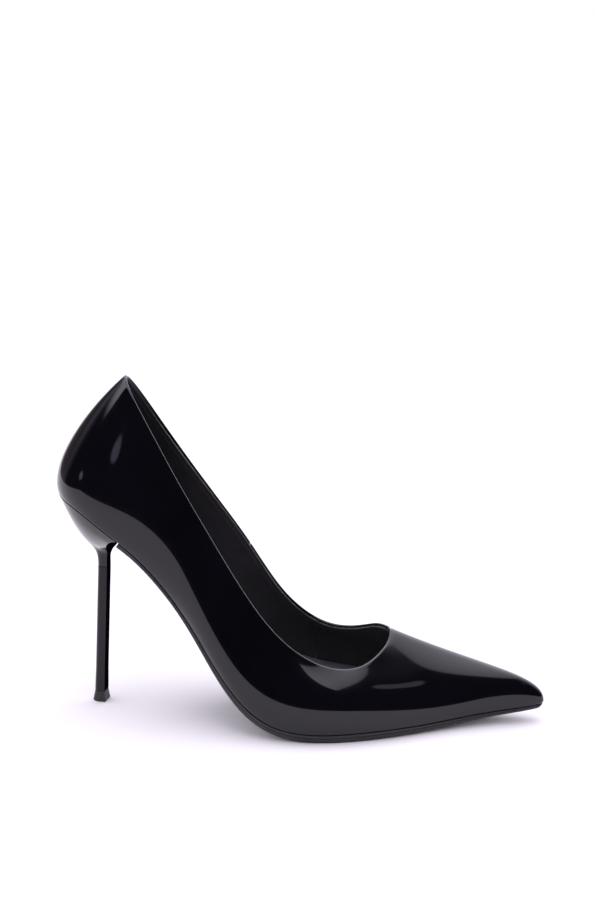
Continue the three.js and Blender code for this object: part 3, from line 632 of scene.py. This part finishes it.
def half_steps(radius, scale):
    """Places round a half section, close together where its corner is rounded."""
    spread = min(0.2, radius / scale * 0.09)
    before = np.linspace(0, BACK_SHARE - spread, 30)
    after = np.linspace(BACK_SHARE + spread * 0.7, 1, 14)
    return before, after


def ring_from(half_point, radius, scale, centre, share):
    """Closed ring of points; half_point(u) gives the outer half's points at u."""
    before, after = half_steps(radius, scale)
    a, b, c = (half_point(np.array([u]))[0] for u in (before[-1], BACK_SHARE, after[0]))
    turn = bezier(a[None], b[None], c[None], 9)[0, 1:-1]
    half = np.concatenate([half_point(before), turn, half_point(after)])
    other = half[1:-1][::-1] * np.array([1, -1, 1])
    return turn_outwards(np.concatenate([half, other]), centre, share)


def cone_ring(w, inset, radius):
    back_x, back_drop, breast_x, breast_drop, half_width = cone_curve(np.array(w))
    back = np.array([back_x + inset, 0, HEEL_HEIGHT - back_drop])
    breast = np.array([breast_x - inset, 0, HEEL_HEIGHT - breast_drop])
    squareness = smooth((w - 0.3) / 0.4)
    settled = smooth((w - 0.5) / 0.5)
    _, seat_back, _, seat_breast, _ = cone_curve(np.array(1.0))

    def half_point(u):
        along, across = section_shape(u, w, squareness)
        p = back + (breast - back) * along[:, None]
        p[:, 1] = -across * (half_width - inset)
        seat = HEEL_HEIGHT - seat_back - (seat_breast - seat_back) * along
        p[:, 2] += (bottom_z(p[:, 0]) - SEAT_GAP - seat) * settled
        return p
    return ring_from(half_point, radius, half_width, (back + breast) / 2, 1 - smooth(w / 0.4))


def build_heel_cover(material, paint, cover):
    ways = np.linspace(0, 1, CONE_STEPS + 1)
    outside = np.array([cone_ring(w, 0.0, COVER_CORNER) for w in ways])
    inside = np.array([cone_ring(w, cover, CORE_CORNER) for w in ways])
    piece = make_shell("heel_cover_patent", outside.transpose(1, 0, 2), inside.transpose(1, 0, 2),
                       material, wrap=True, sharp=55)
    paint_front(piece, paint)
    settle(piece, "patent", "heel_cover")


def stem_ring(z, scale):
    axis = math.tan(STEM_LEAN) * z

    def half_point(u):
        along, across = section_shape(u, 0.0, 0.0)
        return points(axis + (along - 0.5) * STEM_DEPTH * scale, -across * STEM_WIDTH / 2 * scale, z)
    return ring_from(half_point, STEM_CORNER, STEM_WIDTH / 2, (axis, 0), 1)


def build_turned(name, stations, material):
    """Solid between level stem sections: rows of (height, scale), closed by fans."""
    rings = [stem_ring(z, scale) for z, scale in stations]
    count = len(rings[0])
    vertices = np.concatenate(rings)
    faces = []
    for i in range(len(rings) - 1):
        for j in range(count):
            a, b = i * count + j, i * count + (j + 1) % count
            faces.append((a, b, b + count, a + count))
    last = (len(rings) - 1) * count
    half = count // 2
    for base, flip in [(0, False), (last, True)]:
        for j in range(half):
            strip = (base + j, base + (count - j) % count, base + (count - j - 1) % count, base + j + 1)
            strip = tuple(dict.fromkeys(strip))
            faces.append(strip[::-1] if flip else strip)
    return make_piece(name, vertices, faces, material, sharp=50)


def rounded_end(z, scale, radius, way):
    """Stations of an end rounded by radius; way is 1 where the solid lies above the end."""
    angles = np.linspace(0, math.pi / 2, 6)
    half = STEM_WIDTH / 2
    rows = [(z + way * radius * (1 - math.sin(a)), scale - radius * (1 - math.cos(a)) / half)
            for a in angles]
    return rows if way < 0 else rows[::-1]


def build_stem(lacquer, paint, rubber):
    foot, head = TOP_PIECE_HEIGHT + STEM_GAP, NECK_HEIGHT - STEM_GAP
    stations = rounded_end(foot, STEM_FLARE, 0.2, 1)
    stations += [(foot + 12 * s, STEM_FLARE + (1 - STEM_FLARE) * s) for s in (0.25, 0.5, 0.75, 1)]
    stations += [(z, 1.0) for z in np.linspace(foot + 16, head - 2, 12)]
    stations += rounded_end(head, 1.0, 0.25, -1)
    stem = build_turned("heel_stem_lacquer", stations, lacquer)
    paint_front(stem, paint)
    settle(stem, "stem", "heel_stem")
    wide = STEM_FLARE * TOP_PIECE_FLARE
    side = [(0.6 + (TOP_PIECE_HEIGHT - 0.9) * s, wide + (STEM_FLARE - wide) * s ** 0.8)
            for s in np.linspace(0, 1, 8)]
    stations = rounded_end(0.0, wide, 0.55, 1) + side
    stations += rounded_end(TOP_PIECE_HEIGHT - 0.05, STEM_FLARE, 0.2, -1)
    settle(build_turned("top_piece_rubber", stations, rubber), "top_piece", "top_piece")


# ---------------------------------------------------------------- stitches

STITCH_PATH_POINTS = 900
STITCH_LIFT = 0.02               # from the lining's face to the middle of a stitch


def stitch_tree(material):
    """Node tree that lays stitches along a path whose points carry the way out of the face."""
    tree = bpy.data.node_groups.new("stitches", "GeometryNodeTree")
    face = tree.interface
    face.new_socket("Path", in_out="INPUT", socket_type="NodeSocketGeometry")
    face.new_socket("Stitches", in_out="OUTPUT", socket_type="NodeSocketGeometry")
    for name, value in (("Pitch", 2.4 * MM), ("Length", 1.9 * MM), ("Thickness", 0.45 * MM),
                        ("Slant", 0.14)):
        socket = face.new_socket(name, in_out="INPUT", socket_type="NodeSocketFloat")
        socket.default_value = value
    kit = Nodes(tree)
    given = tree.nodes.new("NodeGroupInput")
    value = {socket.name: Value(kit, socket) for socket in given.outputs if socket.name}
    curve = kit.add("GeometryNodeMeshToCurve", {}, {"Mesh": value["Path"]})
    even = kit.add("GeometryNodeResampleCurve", {"mode": "LENGTH"},
                   {"Curve": curve, "Length": value["Pitch"]})
    tangent = kit.add("GeometryNodeInputTangent")
    outward = kit.add("GeometryNodeInputNamedAttribute", {"data_type": "FLOAT_VECTOR"}, {"Name": "outward"})
    lie = kit.add("FunctionNodeAlignRotationToVector", {"axis": "X"}, {"Vector": tangent})
    lie = kit.add("FunctionNodeAlignRotationToVector", {"axis": "Z", "pivot_axis": "X"},
                  {"Rotation": lie, "Vector": outward})
    slant = kit.add("ShaderNodeCombineXYZ", {}, {"Z": value["Slant"]})
    turned = kit.add("FunctionNodeRotateRotation", {"rotation_space": "LOCAL"},
                     {"Rotation": lie, "Rotate By": slant})
    ball = kit.add("GeometryNodeMeshUVSphere", {}, {"Segments": 10, "Rings": 7, "Radius": 0.5})
    shape = kit.add("ShaderNodeCombineXYZ", {}, {"X": value["Length"], "Y": value["Thickness"],
                                                 "Z": value["Thickness"] * 0.8})
    one = kit.add("GeometryNodeTransform", {}, {"Geometry": ball, "Scale": shape})
    rounded = kit.add("GeometryNodeSetShadeSmooth", {}, {"Geometry": one})
    laid = kit.add("GeometryNodeInstanceOnPoints", {},
                   {"Points": even, "Instance": rounded, "Rotation": turned})
    real = kit.add("GeometryNodeRealizeInstances", {}, {"Geometry": laid})
    done = kit.add("GeometryNodeSetMaterial", {}, {"Geometry": real, "Material": material})
    tree.links.new(done.socket, tree.nodes.new("NodeGroupOutput").inputs[0])
    return tree


def build_stitches(material, drop, pitch):
    """Row of stitches on the lining, under the topline."""
    t = np.linspace(0, 1, STITCH_PATH_POINTS, endpoint=False)
    top_way = outer_face(t, np.ones_like(t)) - outer_face(t, np.full_like(t, 1 - FINE))
    v = 1 - drop * FINE / np.linalg.norm(top_way, axis=1)
    line = in_upper(t, v, np.full_like(t, WALL + STITCH_LIFT))
    inward = -outer_normal(t, v)
    mesh = bpy.data.meshes.new("stitch_path")
    count = len(t)
    mesh.from_pydata(to_frame(line).tolist(), [(i, (i + 1) % count) for i in range(count)], [])
    mesh.attributes.new("outward", "FLOAT_VECTOR", "POINT").data.foreach_set("vector", inward.ravel())
    path = bpy.data.objects.new("stitch_path", mesh)
    bpy.context.scene.collection.objects.link(path)
    modifier = path.modifiers.new("stitches", "NODES")
    modifier.node_group = stitch_tree(material)
    for item in modifier.node_group.interface.items_tree:
        if item.name == "Pitch":
            modifier[item.identifier] = pitch
    whole = path.evaluated_get(bpy.context.evaluated_depsgraph_get())
    result = bpy.data.meshes.new_from_object(whole)
    thread = bpy.data.objects.new("topline_stitches", result)
    bpy.context.scene.collection.objects.link(thread)
    bpy.data.objects.remove(path)
    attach(thread, "root")


# ---------------------------------------------------------------- finishes

class Value:
    """A value on a node's socket; arithmetic with it adds Math nodes."""

    def __init__(self, kit, socket):
        self.kit = kit
        self.socket = socket

    def math(self, operation, first, second):
        return self.kit.add("ShaderNodeMath", {"operation": operation}, {0: first, 1: second})

    def __add__(self, other):
        return self.math("ADD", self, other)

    def __sub__(self, other):
        return self.math("SUBTRACT", self, other)

    def __rsub__(self, other):
        return self.math("SUBTRACT", other, self)

    def __mul__(self, other):
        return self.math("MULTIPLY", self, other)

    __radd__ = __add__
    __rmul__ = __mul__


class Nodes:
    """Adds nodes to a tree."""

    def __init__(self, tree):
        self.tree = tree

    def add(self, kind, settings=None, sockets=None, output=0):
        """New node with its settings and the values or links of its sockets."""
        node = self.tree.nodes.new(kind)
        for name, value in (settings or {}).items():
            setattr(node, name, value)
        for name, value in (sockets or {}).items():
            if isinstance(value, Value):
                self.tree.links.new(value.socket, node.inputs[name])
            else:
                node.inputs[name].default_value = value
        return Value(self, node.outputs[output])

    def spread(self, value, low, high, kind="LINEAR"):
        """value's range low..high stretched to 0..1 and clamped."""
        return self.add("ShaderNodeMapRange", {"clamp": True, "interpolation_type": kind},
                        {"Value": value, "From Min": low, "From Max": high}, "Result")

    def mix(self, share, first, second):
        """Colour between two colours, each a tuple or a value."""
        first, second = (c if isinstance(c, Value) else (*c, 1) for c in (first, second))
        return self.add("ShaderNodeMix", {"data_type": "RGBA"}, {0: share, 6: first, 7: second}, 2)


class Finish(Nodes):
    """A material under construction, on Object coordinates in metres."""

    def __init__(self, name):
        self.material = bpy.data.materials.new(name)
        self.material.use_nodes = True
        super().__init__(self.material.node_tree)
        self.surface = self.tree.nodes["Principled BSDF"]
        self.place = self.add("ShaderNodeTexCoord", output="Object")

    def stretched(self, x, y, z):
        return self.add("ShaderNodeMapping", {}, {"Vector": self.place, "Scale": (x, y, z)})

    def noise(self, scale, detail=2.0, roughness=0.5, place=None):
        return self.add("ShaderNodeTexNoise", {}, {"Vector": place or self.place, "Scale": scale,
                                                   "Detail": detail, "Roughness": roughness}, "Fac")

    def cells(self, scale):
        return self.add("ShaderNodeTexVoronoi", {}, {"Vector": self.place, "Scale": scale}, "Distance")

    def bump(self, height, distance, under=None):
        sockets = {"Height": height, "Distance": distance, "Strength": 1.0}
        if under is not None:
            sockets["Normal"] = under
        return self.add("ShaderNodeBump", {}, sockets)

    def finish(self, **inputs):
        """Joins values to the surface's sockets, or sets them, and gives the material."""
        for name, value in inputs.items():
            socket = self.surface.inputs[name.replace("_", " ").title().replace("Ior", "IOR")]
            if isinstance(value, Value):
                self.tree.links.new(value.socket, socket)
            else:
                socket.default_value = value
        return self.material


def lighter(shade, factor=1.7):
    return tuple(c * factor for c in shade)


def patent_leather(name, colour, wave):
    kit = Finish(name)
    cloud = kit.spread(kit.noise(22, 3), 0.35, 0.65)
    smear = kit.spread(kit.noise(60, 4, 0.6, kit.stretched(1, 1, 0.35)), 0.45, 0.75)
    swell = kit.bump(kit.noise(48, 2, 0.35), wave)
    return kit.finish(base_color=kit.mix(cloud, colour, lighter(colour, 1.6)),
                      roughness=0.16 + smear * 0.05, normal=swell, coat_weight=1.0,
                      coat_roughness=0.02, coat_ior=1.42, specular_ior_level=0.06)


def lining_leather(name, colour, light, grain):
    kit = Finish(name)
    pores = kit.spread(kit.cells(1100), 0.02, 0.25)
    cloud = kit.spread(kit.noise(90, 4), 0.35, 0.65)
    creases = kit.bump(kit.noise(420, 3, 0.6), grain * 1.2)
    return kit.finish(base_color=kit.mix(cloud * 0.6 + pores * 0.4, colour, light),
                      roughness=0.5 + cloud * 0.12, normal=kit.bump(pores, grain, under=creases),
                      specular_ior_level=0.4)


def satin_lacquer(name, colour, light):
    kit = Finish(name)
    streak = kit.spread(kit.noise(260, 3, 0.5, kit.stretched(1, 1, 0.06)), 0.35, 0.65)
    return kit.finish(base_color=kit.mix(streak, colour, light), roughness=0.24 + streak * 0.07,
                      normal=kit.bump(streak, 0.000006), specular_ior_level=0.22)


def edge_paint(name, colour, light):
    kit = Finish(name)
    brushed = kit.spread(kit.noise(500, 3, 0.5, kit.stretched(1, 1, 0.1)), 0.35, 0.65)
    return kit.finish(base_color=kit.mix(brushed, colour, light), roughness=0.7 + brushed * 0.1,
                      normal=kit.bump(brushed, 0.000008), specular_ior_level=0.0)


def hard_rubber(name, colour, light):
    kit = Finish(name)
    grit = kit.noise(900, 3, 0.6)
    return kit.finish(base_color=kit.mix(kit.spread(grit, 0.4, 0.62), colour, light),
                      roughness=0.46 + grit * 0.16, normal=kit.bump(grit, 0.00002))


def sole_leather(name, colour, light):
    kit = Finish(name)
    fibre = kit.noise(320, 4, 0.6, kit.stretched(0.3, 1, 1))
    scuff = kit.spread(kit.noise(80, 5, 0.65), 0.5, 0.72)
    return kit.finish(base_color=kit.mix(scuff, colour, light), roughness=0.3 + scuff * 0.2,
                      normal=kit.bump(fibre, 0.00003))


def sewing_thread(name, colour, light):
    kit = Finish(name)
    strand = kit.add("ShaderNodeTexWave", {"bands_direction": "DIAGONAL"},
                     {"Vector": kit.place, "Scale": 900.0, "Distortion": 1.0}, "Fac")
    return kit.finish(base_color=kit.mix(strand, colour, light), roughness=0.45 + strand * 0.15,
                      normal=kit.bump(strand, 0.00002))


def woven_backer(name, colour, light):
    kit = Finish(name)
    warp, weft = (kit.add("ShaderNodeTexWave", {"bands_direction": direction},
                          {"Vector": kit.place, "Scale": 260.0}, "Fac") for direction in "XZ")
    weave = warp * (1 - weft) + weft * (1 - warp)
    return kit.finish(base_color=kit.mix(weave, colour, light), roughness=0.8 + weave * 0.1,
                      normal=kit.bump(weave, 0.00006))


def flecked(name, colour, light, scale, depth, base_roughness):
    """Grainy boards, cork, foam and moulded plastics."""
    kit = Finish(name)
    fleck = kit.spread(kit.cells(scale), 0.1, 0.6)
    cloud = kit.noise(scale / 6, 3)
    return kit.finish(base_color=kit.mix(fleck * 0.6 + cloud * 0.4, colour, light),
                      roughness=base_roughness + cloud * 0.12, normal=kit.bump(fleck, depth))


def bright_steel(name, colour, light):
    kit = Finish(name)
    streak = kit.noise(500, 3, 0.6, kit.stretched(0.08, 1, 1))
    return kit.finish(base_color=kit.mix(streak, colour, light), roughness=0.22 + streak * 0.16,
                      normal=kit.bump(streak, 0.000008), metallic=1.0)


# Pieces inside that keep their CAD shape: node, finish.
INNER_FINISHES = {
    "topline_tape": "backer", "outside_backer": "backer", "inside_backer": "backer",
    "toe_puff": "stiffener", "heel_counter": "stiffener", "insole_board": "board",
    "bottom_filler": "cork", "heel_block": "plastic"}
STEEL_NODES = ["steel_shank", "shank_rivet_front", "shank_rivet_rear", "heel_dowel",
               "top_piece_pin", "heel_screw", *(f"heel_nail_{i}" for i in range(1, 6))]


def finish_inner_nodes():
    finishes = {name: flecked(*values) for name, values in {
        "stiffener": ("stiffener_sheet", (0.60, 0.57, 0.50), (0.72, 0.69, 0.62), 700, 0.00003, 0.6),
        "board": ("insole_fibreboard", (0.30, 0.20, 0.10), (0.46, 0.34, 0.19), 420, 0.00008, 0.75),
        "cork": ("ground_cork", (0.30, 0.16, 0.06), (0.55, 0.35, 0.17), 380, 0.0002, 0.8),
        "plastic": ("heel_core_plastic", (0.022, 0.022, 0.024), (0.04, 0.04, 0.043), 900, 0.00001, 0.35),
    }.items()}
    finishes["backer"] = woven_backer("bonded_cotton", (0.55, 0.52, 0.44), (0.68, 0.65, 0.57))
    steel = bright_steel("bright_steel", (0.46, 0.47, 0.49), (0.62, 0.63, 0.65))
    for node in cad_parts:
        if node in INNER_FINISHES:
            wear_finish(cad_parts[node], finishes[INNER_FINISHES[node]])
        elif node in STEEL_NODES:
            wear_finish(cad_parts[node], steel)


def wear_finish(piece, material):
    for slot in piece.material_slots:
        slot.material = material


# ---------------------------------------------------------------- sizes and colours

def length(label, default, about):
    return bpy.props.FloatProperty(name=label, default=default, unit="LENGTH", min=0.0, description=about)


def colour(label, default, about):
    return bpy.props.FloatVectorProperty(name=label, default=default, size=3, subtype="COLOR",
                                         min=0.0, max=1.0, description=about)


class PumpSizes(bpy.types.PropertyGroup):
    fold: length("Topline fold", 1.6 * MM, "Width of the folded edge round the opening")
    fold_rise: length("Fold rise", 0.3 * MM, "How far the fold stands over the topline")
    cover: length("Heel cover", 0.5 * MM, "Thickness of the heel's patent cover")
    groove: length("Sole groove", 0.22 * MM, "Depth of the line round the edge of the outsole")
    stitch_drop: length("Stitch line", 3.0 * MM, "From the topline down to the stitches")
    stitch_pitch: length("Stitch pitch", 2.4 * MM, "From one stitch to the next")


class PumpColours(bpy.types.PropertyGroup):
    patent: colour("Patent leather", (0.0014, 0.0013, 0.0022), "Black under the clear film")
    lining: colour("Lining", (0.012, 0.011, 0.013), "Lining leather of vamp and quarters")
    sock: colour("Sock", (0.05, 0.05, 0.054), "Leather that the foot stands on")
    sole: colour("Outsole", (0.010, 0.0095, 0.011), "Painted outsole leather")
    stem: colour("Stem", (0.012, 0.011, 0.012), "Satin lacquer of the heel stem")
    rubber: colour("Top piece", (0.014, 0.0135, 0.015), "Hard rubber under the heel")


class PumpStudio(bpy.types.PropertyGroup):
    azimuth: bpy.props.FloatProperty(
        name="Azimuth", default=math.radians(10), subtype="ANGLE", description="Camera round the shoe")
    elevation: bpy.props.FloatProperty(
        name="Elevation", default=math.radians(18), subtype="ANGLE", description="Camera over the floor")
    distance: length("Distance", 1.8, "From the camera to its aim")
    lens: bpy.props.FloatProperty(name="Lens", default=151.58, unit="CAMERA", description="Focal length")
    aim: bpy.props.FloatVectorProperty(
        name="Aim", default=(-0.0098, 0.0535, 0.1124), subtype="TRANSLATION",
        description="Point in the middle of the picture")


# ---------------------------------------------------------------- operators

def sizes():
    return bpy.context.scene.pump_sizes


def colours():
    return bpy.context.scene.pump_colours


class PUMP_OT_upper(bpy.types.Operator):
    """Patent upper: the vamp with the outer quarter, and the inner quarter"""
    bl_idname = "pump.upper"
    bl_label = "Upper"

    def execute(self, context):
        patent = patent_leather("patent_leather", tuple(colours().patent), 0.00030)
        build_uppers(patent, sizes().fold / MM, sizes().fold_rise / MM)
        return {"FINISHED"}


class PUMP_OT_lining(bpy.types.Operator):
    """Linings of the vamp and the quarters"""
    bl_idname = "pump.lining"
    bl_label = "Lining"

    def execute(self, context):
        shade = tuple(colours().lining)
        build_linings(lining_leather("lining_leather", shade, lighter(shade), 0.00005))
        return {"FINISHED"}


class PUMP_OT_stitches(bpy.types.Operator):
    """Stitches under the topline"""
    bl_idname = "pump.stitches"
    bl_label = "Stitches"

    def execute(self, context):
        thread = sewing_thread("sewing_thread", (0.02, 0.019, 0.022), (0.05, 0.048, 0.055))
        build_stitches(thread, sizes().stitch_drop / MM, sizes().stitch_pitch)
        return {"FINISHED"}


class PUMP_OT_sock(bpy.types.Operator):
    """Sock and the cushion under it"""
    bl_idname = "pump.sock"
    bl_label = "Sock"

    def execute(self, context):
        shade = tuple(colours().sock)
        leather = lining_leather("sock_leather", shade, lighter(shade, 2.0), 0.00009)
        foam = flecked("cushion_foam", (0.62, 0.58, 0.48), (0.80, 0.76, 0.66), 900, 0.0001, 0.85)
        build_sock(leather, foam)
        return {"FINISHED"}


class PUMP_OT_outsole(bpy.types.Operator):
    """Outsole with its painted, grooved edge"""
    bl_idname = "pump.outsole"
    bl_label = "Outsole"

    def execute(self, context):
        shade = tuple(colours().sole)
        build_outsole(sole_leather("sole_leather", shade, lighter(shade)), sizes().groove / MM)
        return {"FINISHED"}


class PUMP_OT_heel(bpy.types.Operator):
    """Heel cover, stem and top piece"""
    bl_idname = "pump.heel"
    bl_label = "Heel"

    def execute(self, context):
        black, stem, rubber = (tuple(c) for c in (colours().patent, colours().stem, colours().rubber))
        patent = patent_leather("heel_patent", black, 0.00005)
        paint = edge_paint("edge_paint", black, lighter(black, 2.0))
        build_heel_cover(patent, paint, sizes().cover / MM)
        build_stem(satin_lacquer("stem_lacquer", stem, lighter(stem, 1.3)), paint,
                   hard_rubber("top_piece_rubber", rubber, lighter(rubber)))
        return {"FINISHED"}


class PUMP_OT_inside(bpy.types.Operator):
    """Finishes of the stiffeners, boards and fasteners inside"""
    bl_idname = "pump.inside"
    bl_label = "Inside"

    def execute(self, context):
        finish_inner_nodes()
        return {"FINISHED"}


class PUMP_OT_studio(bpy.types.Operator):
    """Floor, lights, surroundings and camera"""
    bl_idname = "pump.studio"
    bl_label = "Studio"

    def execute(self, context):
        build_floor()
        build_surroundings()
        build_overhead()
        build_camera(context.scene.pump_studio)
        context.scene.view_settings.view_transform = "Standard"
        return {"FINISHED"}


# ---------------------------------------------------------------- studio

FLOOR_FRONT, FLOOR_BACK, FLOOR_SIDE = -0.42, 1.6, 0.75
FLOOR_GREY, FLOOR_PALER = (0.835, 0.835, 0.83), (0.845, 0.845, 0.84)
OVERHEAD_PLACE, OVERHEAD_SIZE, OVERHEAD_WATTS = (0.1, 0.1, 1.6), 1.6, 14
OVERHEAD_TINT = (1.0, 0.93, 1.07)
SKY = (1.16, 1.10, 1.24)         # soft light from all round, for all but the gloss


def build_floor():
    kit = Finish("studio_floor")
    cloud = kit.noise(3.0, 2)
    material = kit.finish(base_color=kit.mix(cloud, FLOOR_GREY, FLOOR_PALER),
                          roughness=0.85 + cloud * 0.05, specular_ior_level=0.1)
    mesh = bpy.data.meshes.new("studio_floor")
    corners = [(-FLOOR_SIDE, FLOOR_FRONT, 0), (FLOOR_SIDE, FLOOR_FRONT, 0),
               (FLOOR_SIDE, FLOOR_BACK, 0), (-FLOOR_SIDE, FLOOR_BACK, 0)]
    mesh.from_pydata(corners, [], [(0, 1, 2, 3)])
    mesh.materials.append(material)
    floor = bpy.data.objects.new("studio_floor", mesh)
    bpy.context.scene.collection.objects.link(floor)


# What the gloss mirrors besides the floor. Lamps: which way they lie, the angle from there
# up to which they are full, the angle where they end, in degrees, and their colour.
MIRRORED_DARK = (0.006, 0.0055, 0.007)
GLOWS = [
    ((-0.1, 0.93, 0.35), 10, 85, (1.9, 1.85, 2.2)),        # wall behind the shoe
    ((-0.83, 0.54, 0.14), 12, 28, (0.15, 0.125, 0.13)),    # dim screen at the heel's side
    ((0.63, -0.17, 0.76), 2.0, 3.2, (0.75, 0.74, 0.80)),   # small window ahead, high up
    ((-0.20, -0.90, 0.38), 3.0, 6.0, (0.9, 0.95, 1.3)),    # window on the outer side
    ((-0.86, -0.50, 0.10), 3.0, 4.0, (1.1, 1.2, 1.5))]     # low window behind the heel
# Softbox on the ceiling: its edges as slopes x/z and y/z of the direction, the width over
# which they fade, and its colour at the right edge and from its bright slope leftwards.
BOX_RIGHT, BOX_FRONT, BOX_FADE = 0.60, -0.72, 0.03
BOX_DIM, BOX_BRIGHT, BOX_BRIGHT_AT = (0.80, 0.78, 0.88), (3.0, 2.9, 3.2), 0.38
BOX_LOW, BOX_HIGH = 0.5, 0.6     # it fades in between these heights z of the direction


def build_surroundings():
    """White for the camera, a soft violet sky for the floor, dark with lamps for the gloss."""
    world = bpy.data.worlds.new("studio")
    world.use_nodes = True
    bpy.context.scene.world = world
    kit = Nodes(world.node_tree)
    path = world.node_tree.nodes.new("ShaderNodeLightPath")
    camera = Value(kit, path.outputs["Is Camera Ray"])
    glossy = Value(kit, path.outputs["Is Glossy Ray"])
    way = kit.add("ShaderNodeTexCoord", output="Generated")
    mirrored_light = MIRRORED_DARK
    for toward, near, far, tint in GLOWS:
        aim = tuple(Vector(toward).normalized())
        cosine = kit.add("ShaderNodeVectorMath", {"operation": "DOT_PRODUCT"}, {0: way, 1: aim}, "Value")
        share = kit.spread(cosine, math.cos(math.radians(far)), math.cos(math.radians(near)), "SMOOTHSTEP")
        mirrored_light = kit.mix(share, mirrored_light, tint)
    along, across, height = (kit.add("ShaderNodeSeparateXYZ", {}, {0: way}, axis) for axis in "XYZ")
    left_of_edge = kit.spread(height * BOX_RIGHT - along, 0, BOX_FADE, "SMOOTHSTEP")
    behind_edge = kit.spread(across - height * BOX_FRONT, 0, BOX_FADE, "SMOOTHSTEP")
    overhead = kit.spread(height, BOX_LOW, BOX_HIGH, "SMOOTHSTEP")
    rightwards = kit.spread(along - height * BOX_BRIGHT_AT, 0, BOX_RIGHT - BOX_BRIGHT_AT)
    softbox = kit.mix(rightwards, BOX_BRIGHT, BOX_DIM)
    mirrored_light = kit.mix(left_of_edge * behind_edge * overhead, mirrored_light, softbox)
    unseen = kit.mix(glossy, SKY, mirrored_light)
    seen = kit.mix(camera, unseen, (1, 1, 1))
    background = world.node_tree.nodes["Background"]
    world.node_tree.links.new(seen.socket, background.inputs["Color"])


def build_overhead():
    """Soft light from above, which the gloss doesn't mirror."""
    data = bpy.data.lights.new("overhead", "AREA")
    data.shape = "RECTANGLE"
    data.size = data.size_y = OVERHEAD_SIZE
    data.energy = OVERHEAD_WATTS
    data.color = OVERHEAD_TINT
    light = bpy.data.objects.new("overhead", data)
    light.location = OVERHEAD_PLACE
    light.rotation_euler = (-Vector(OVERHEAD_PLACE)).to_track_quat("-Z", "Y").to_euler()
    light.visible_glossy = False
    light.visible_camera = False
    bpy.context.scene.collection.objects.link(light)


SENSOR = 36                      # in millimetres


def build_camera(studio):
    data = bpy.data.cameras.new("camera")
    data.lens = studio.lens
    data.sensor_width = SENSOR
    data.clip_start = 0.05
    azimuth, elevation = studio.azimuth, studio.elevation
    back = Vector((math.sin(azimuth) * math.cos(elevation), -math.cos(azimuth) * math.cos(elevation),
                   math.sin(elevation)))
    camera = bpy.data.objects.new("camera", data)
    camera.location = Vector(studio.aim) + back * studio.distance
    camera.rotation_euler = back.to_track_quat("Z", "Y").to_euler()
    bpy.context.scene.collection.objects.link(camera)
    bpy.context.scene.camera = camera


# ---------------------------------------------------------------- panel and run

class PUMP_PT_panel(bpy.types.Panel):
    """Sizes, colours and pieces of the pump"""
    bl_idname = "PUMP_PT_panel"
    bl_label = "High heel pump"
    bl_space_type = "VIEW_3D"
    bl_region_type = "UI"
    bl_category = "Pump"

    def draw(self, context):
        for group in (context.scene.pump_sizes, context.scene.pump_colours, context.scene.pump_studio):
            box = self.layout.box()
            for name in group.__annotations__:
                box.prop(group, name)
        for operator in OPERATORS:
            self.layout.operator(operator.bl_idname)


GROUPS = {"pump_sizes": PumpSizes, "pump_colours": PumpColours, "pump_studio": PumpStudio}
OPERATORS = [PUMP_OT_upper, PUMP_OT_lining, PUMP_OT_stitches, PUMP_OT_sock, PUMP_OT_outsole,
             PUMP_OT_heel, PUMP_OT_inside, PUMP_OT_studio]


def register():
    for cls in (*GROUPS.values(), *OPERATORS, PUMP_PT_panel):
        bpy.utils.register_class(cls)
    for name, group in GROUPS.items():
        setattr(bpy.types.Scene, name, bpy.props.PointerProperty(type=group))


def unregister():
    for name in GROUPS:
        delattr(bpy.types.Scene, name)
    for cls in reversed((*GROUPS.values(), *OPERATORS, PUMP_PT_panel)):
        bpy.utils.unregister_class(cls)


def main():
    register()
    for operator in OPERATORS:
        family, name = operator.bl_idname.split(".")
        getattr(getattr(bpy.ops, family), name)()


if __name__ == "__main__":
    main()
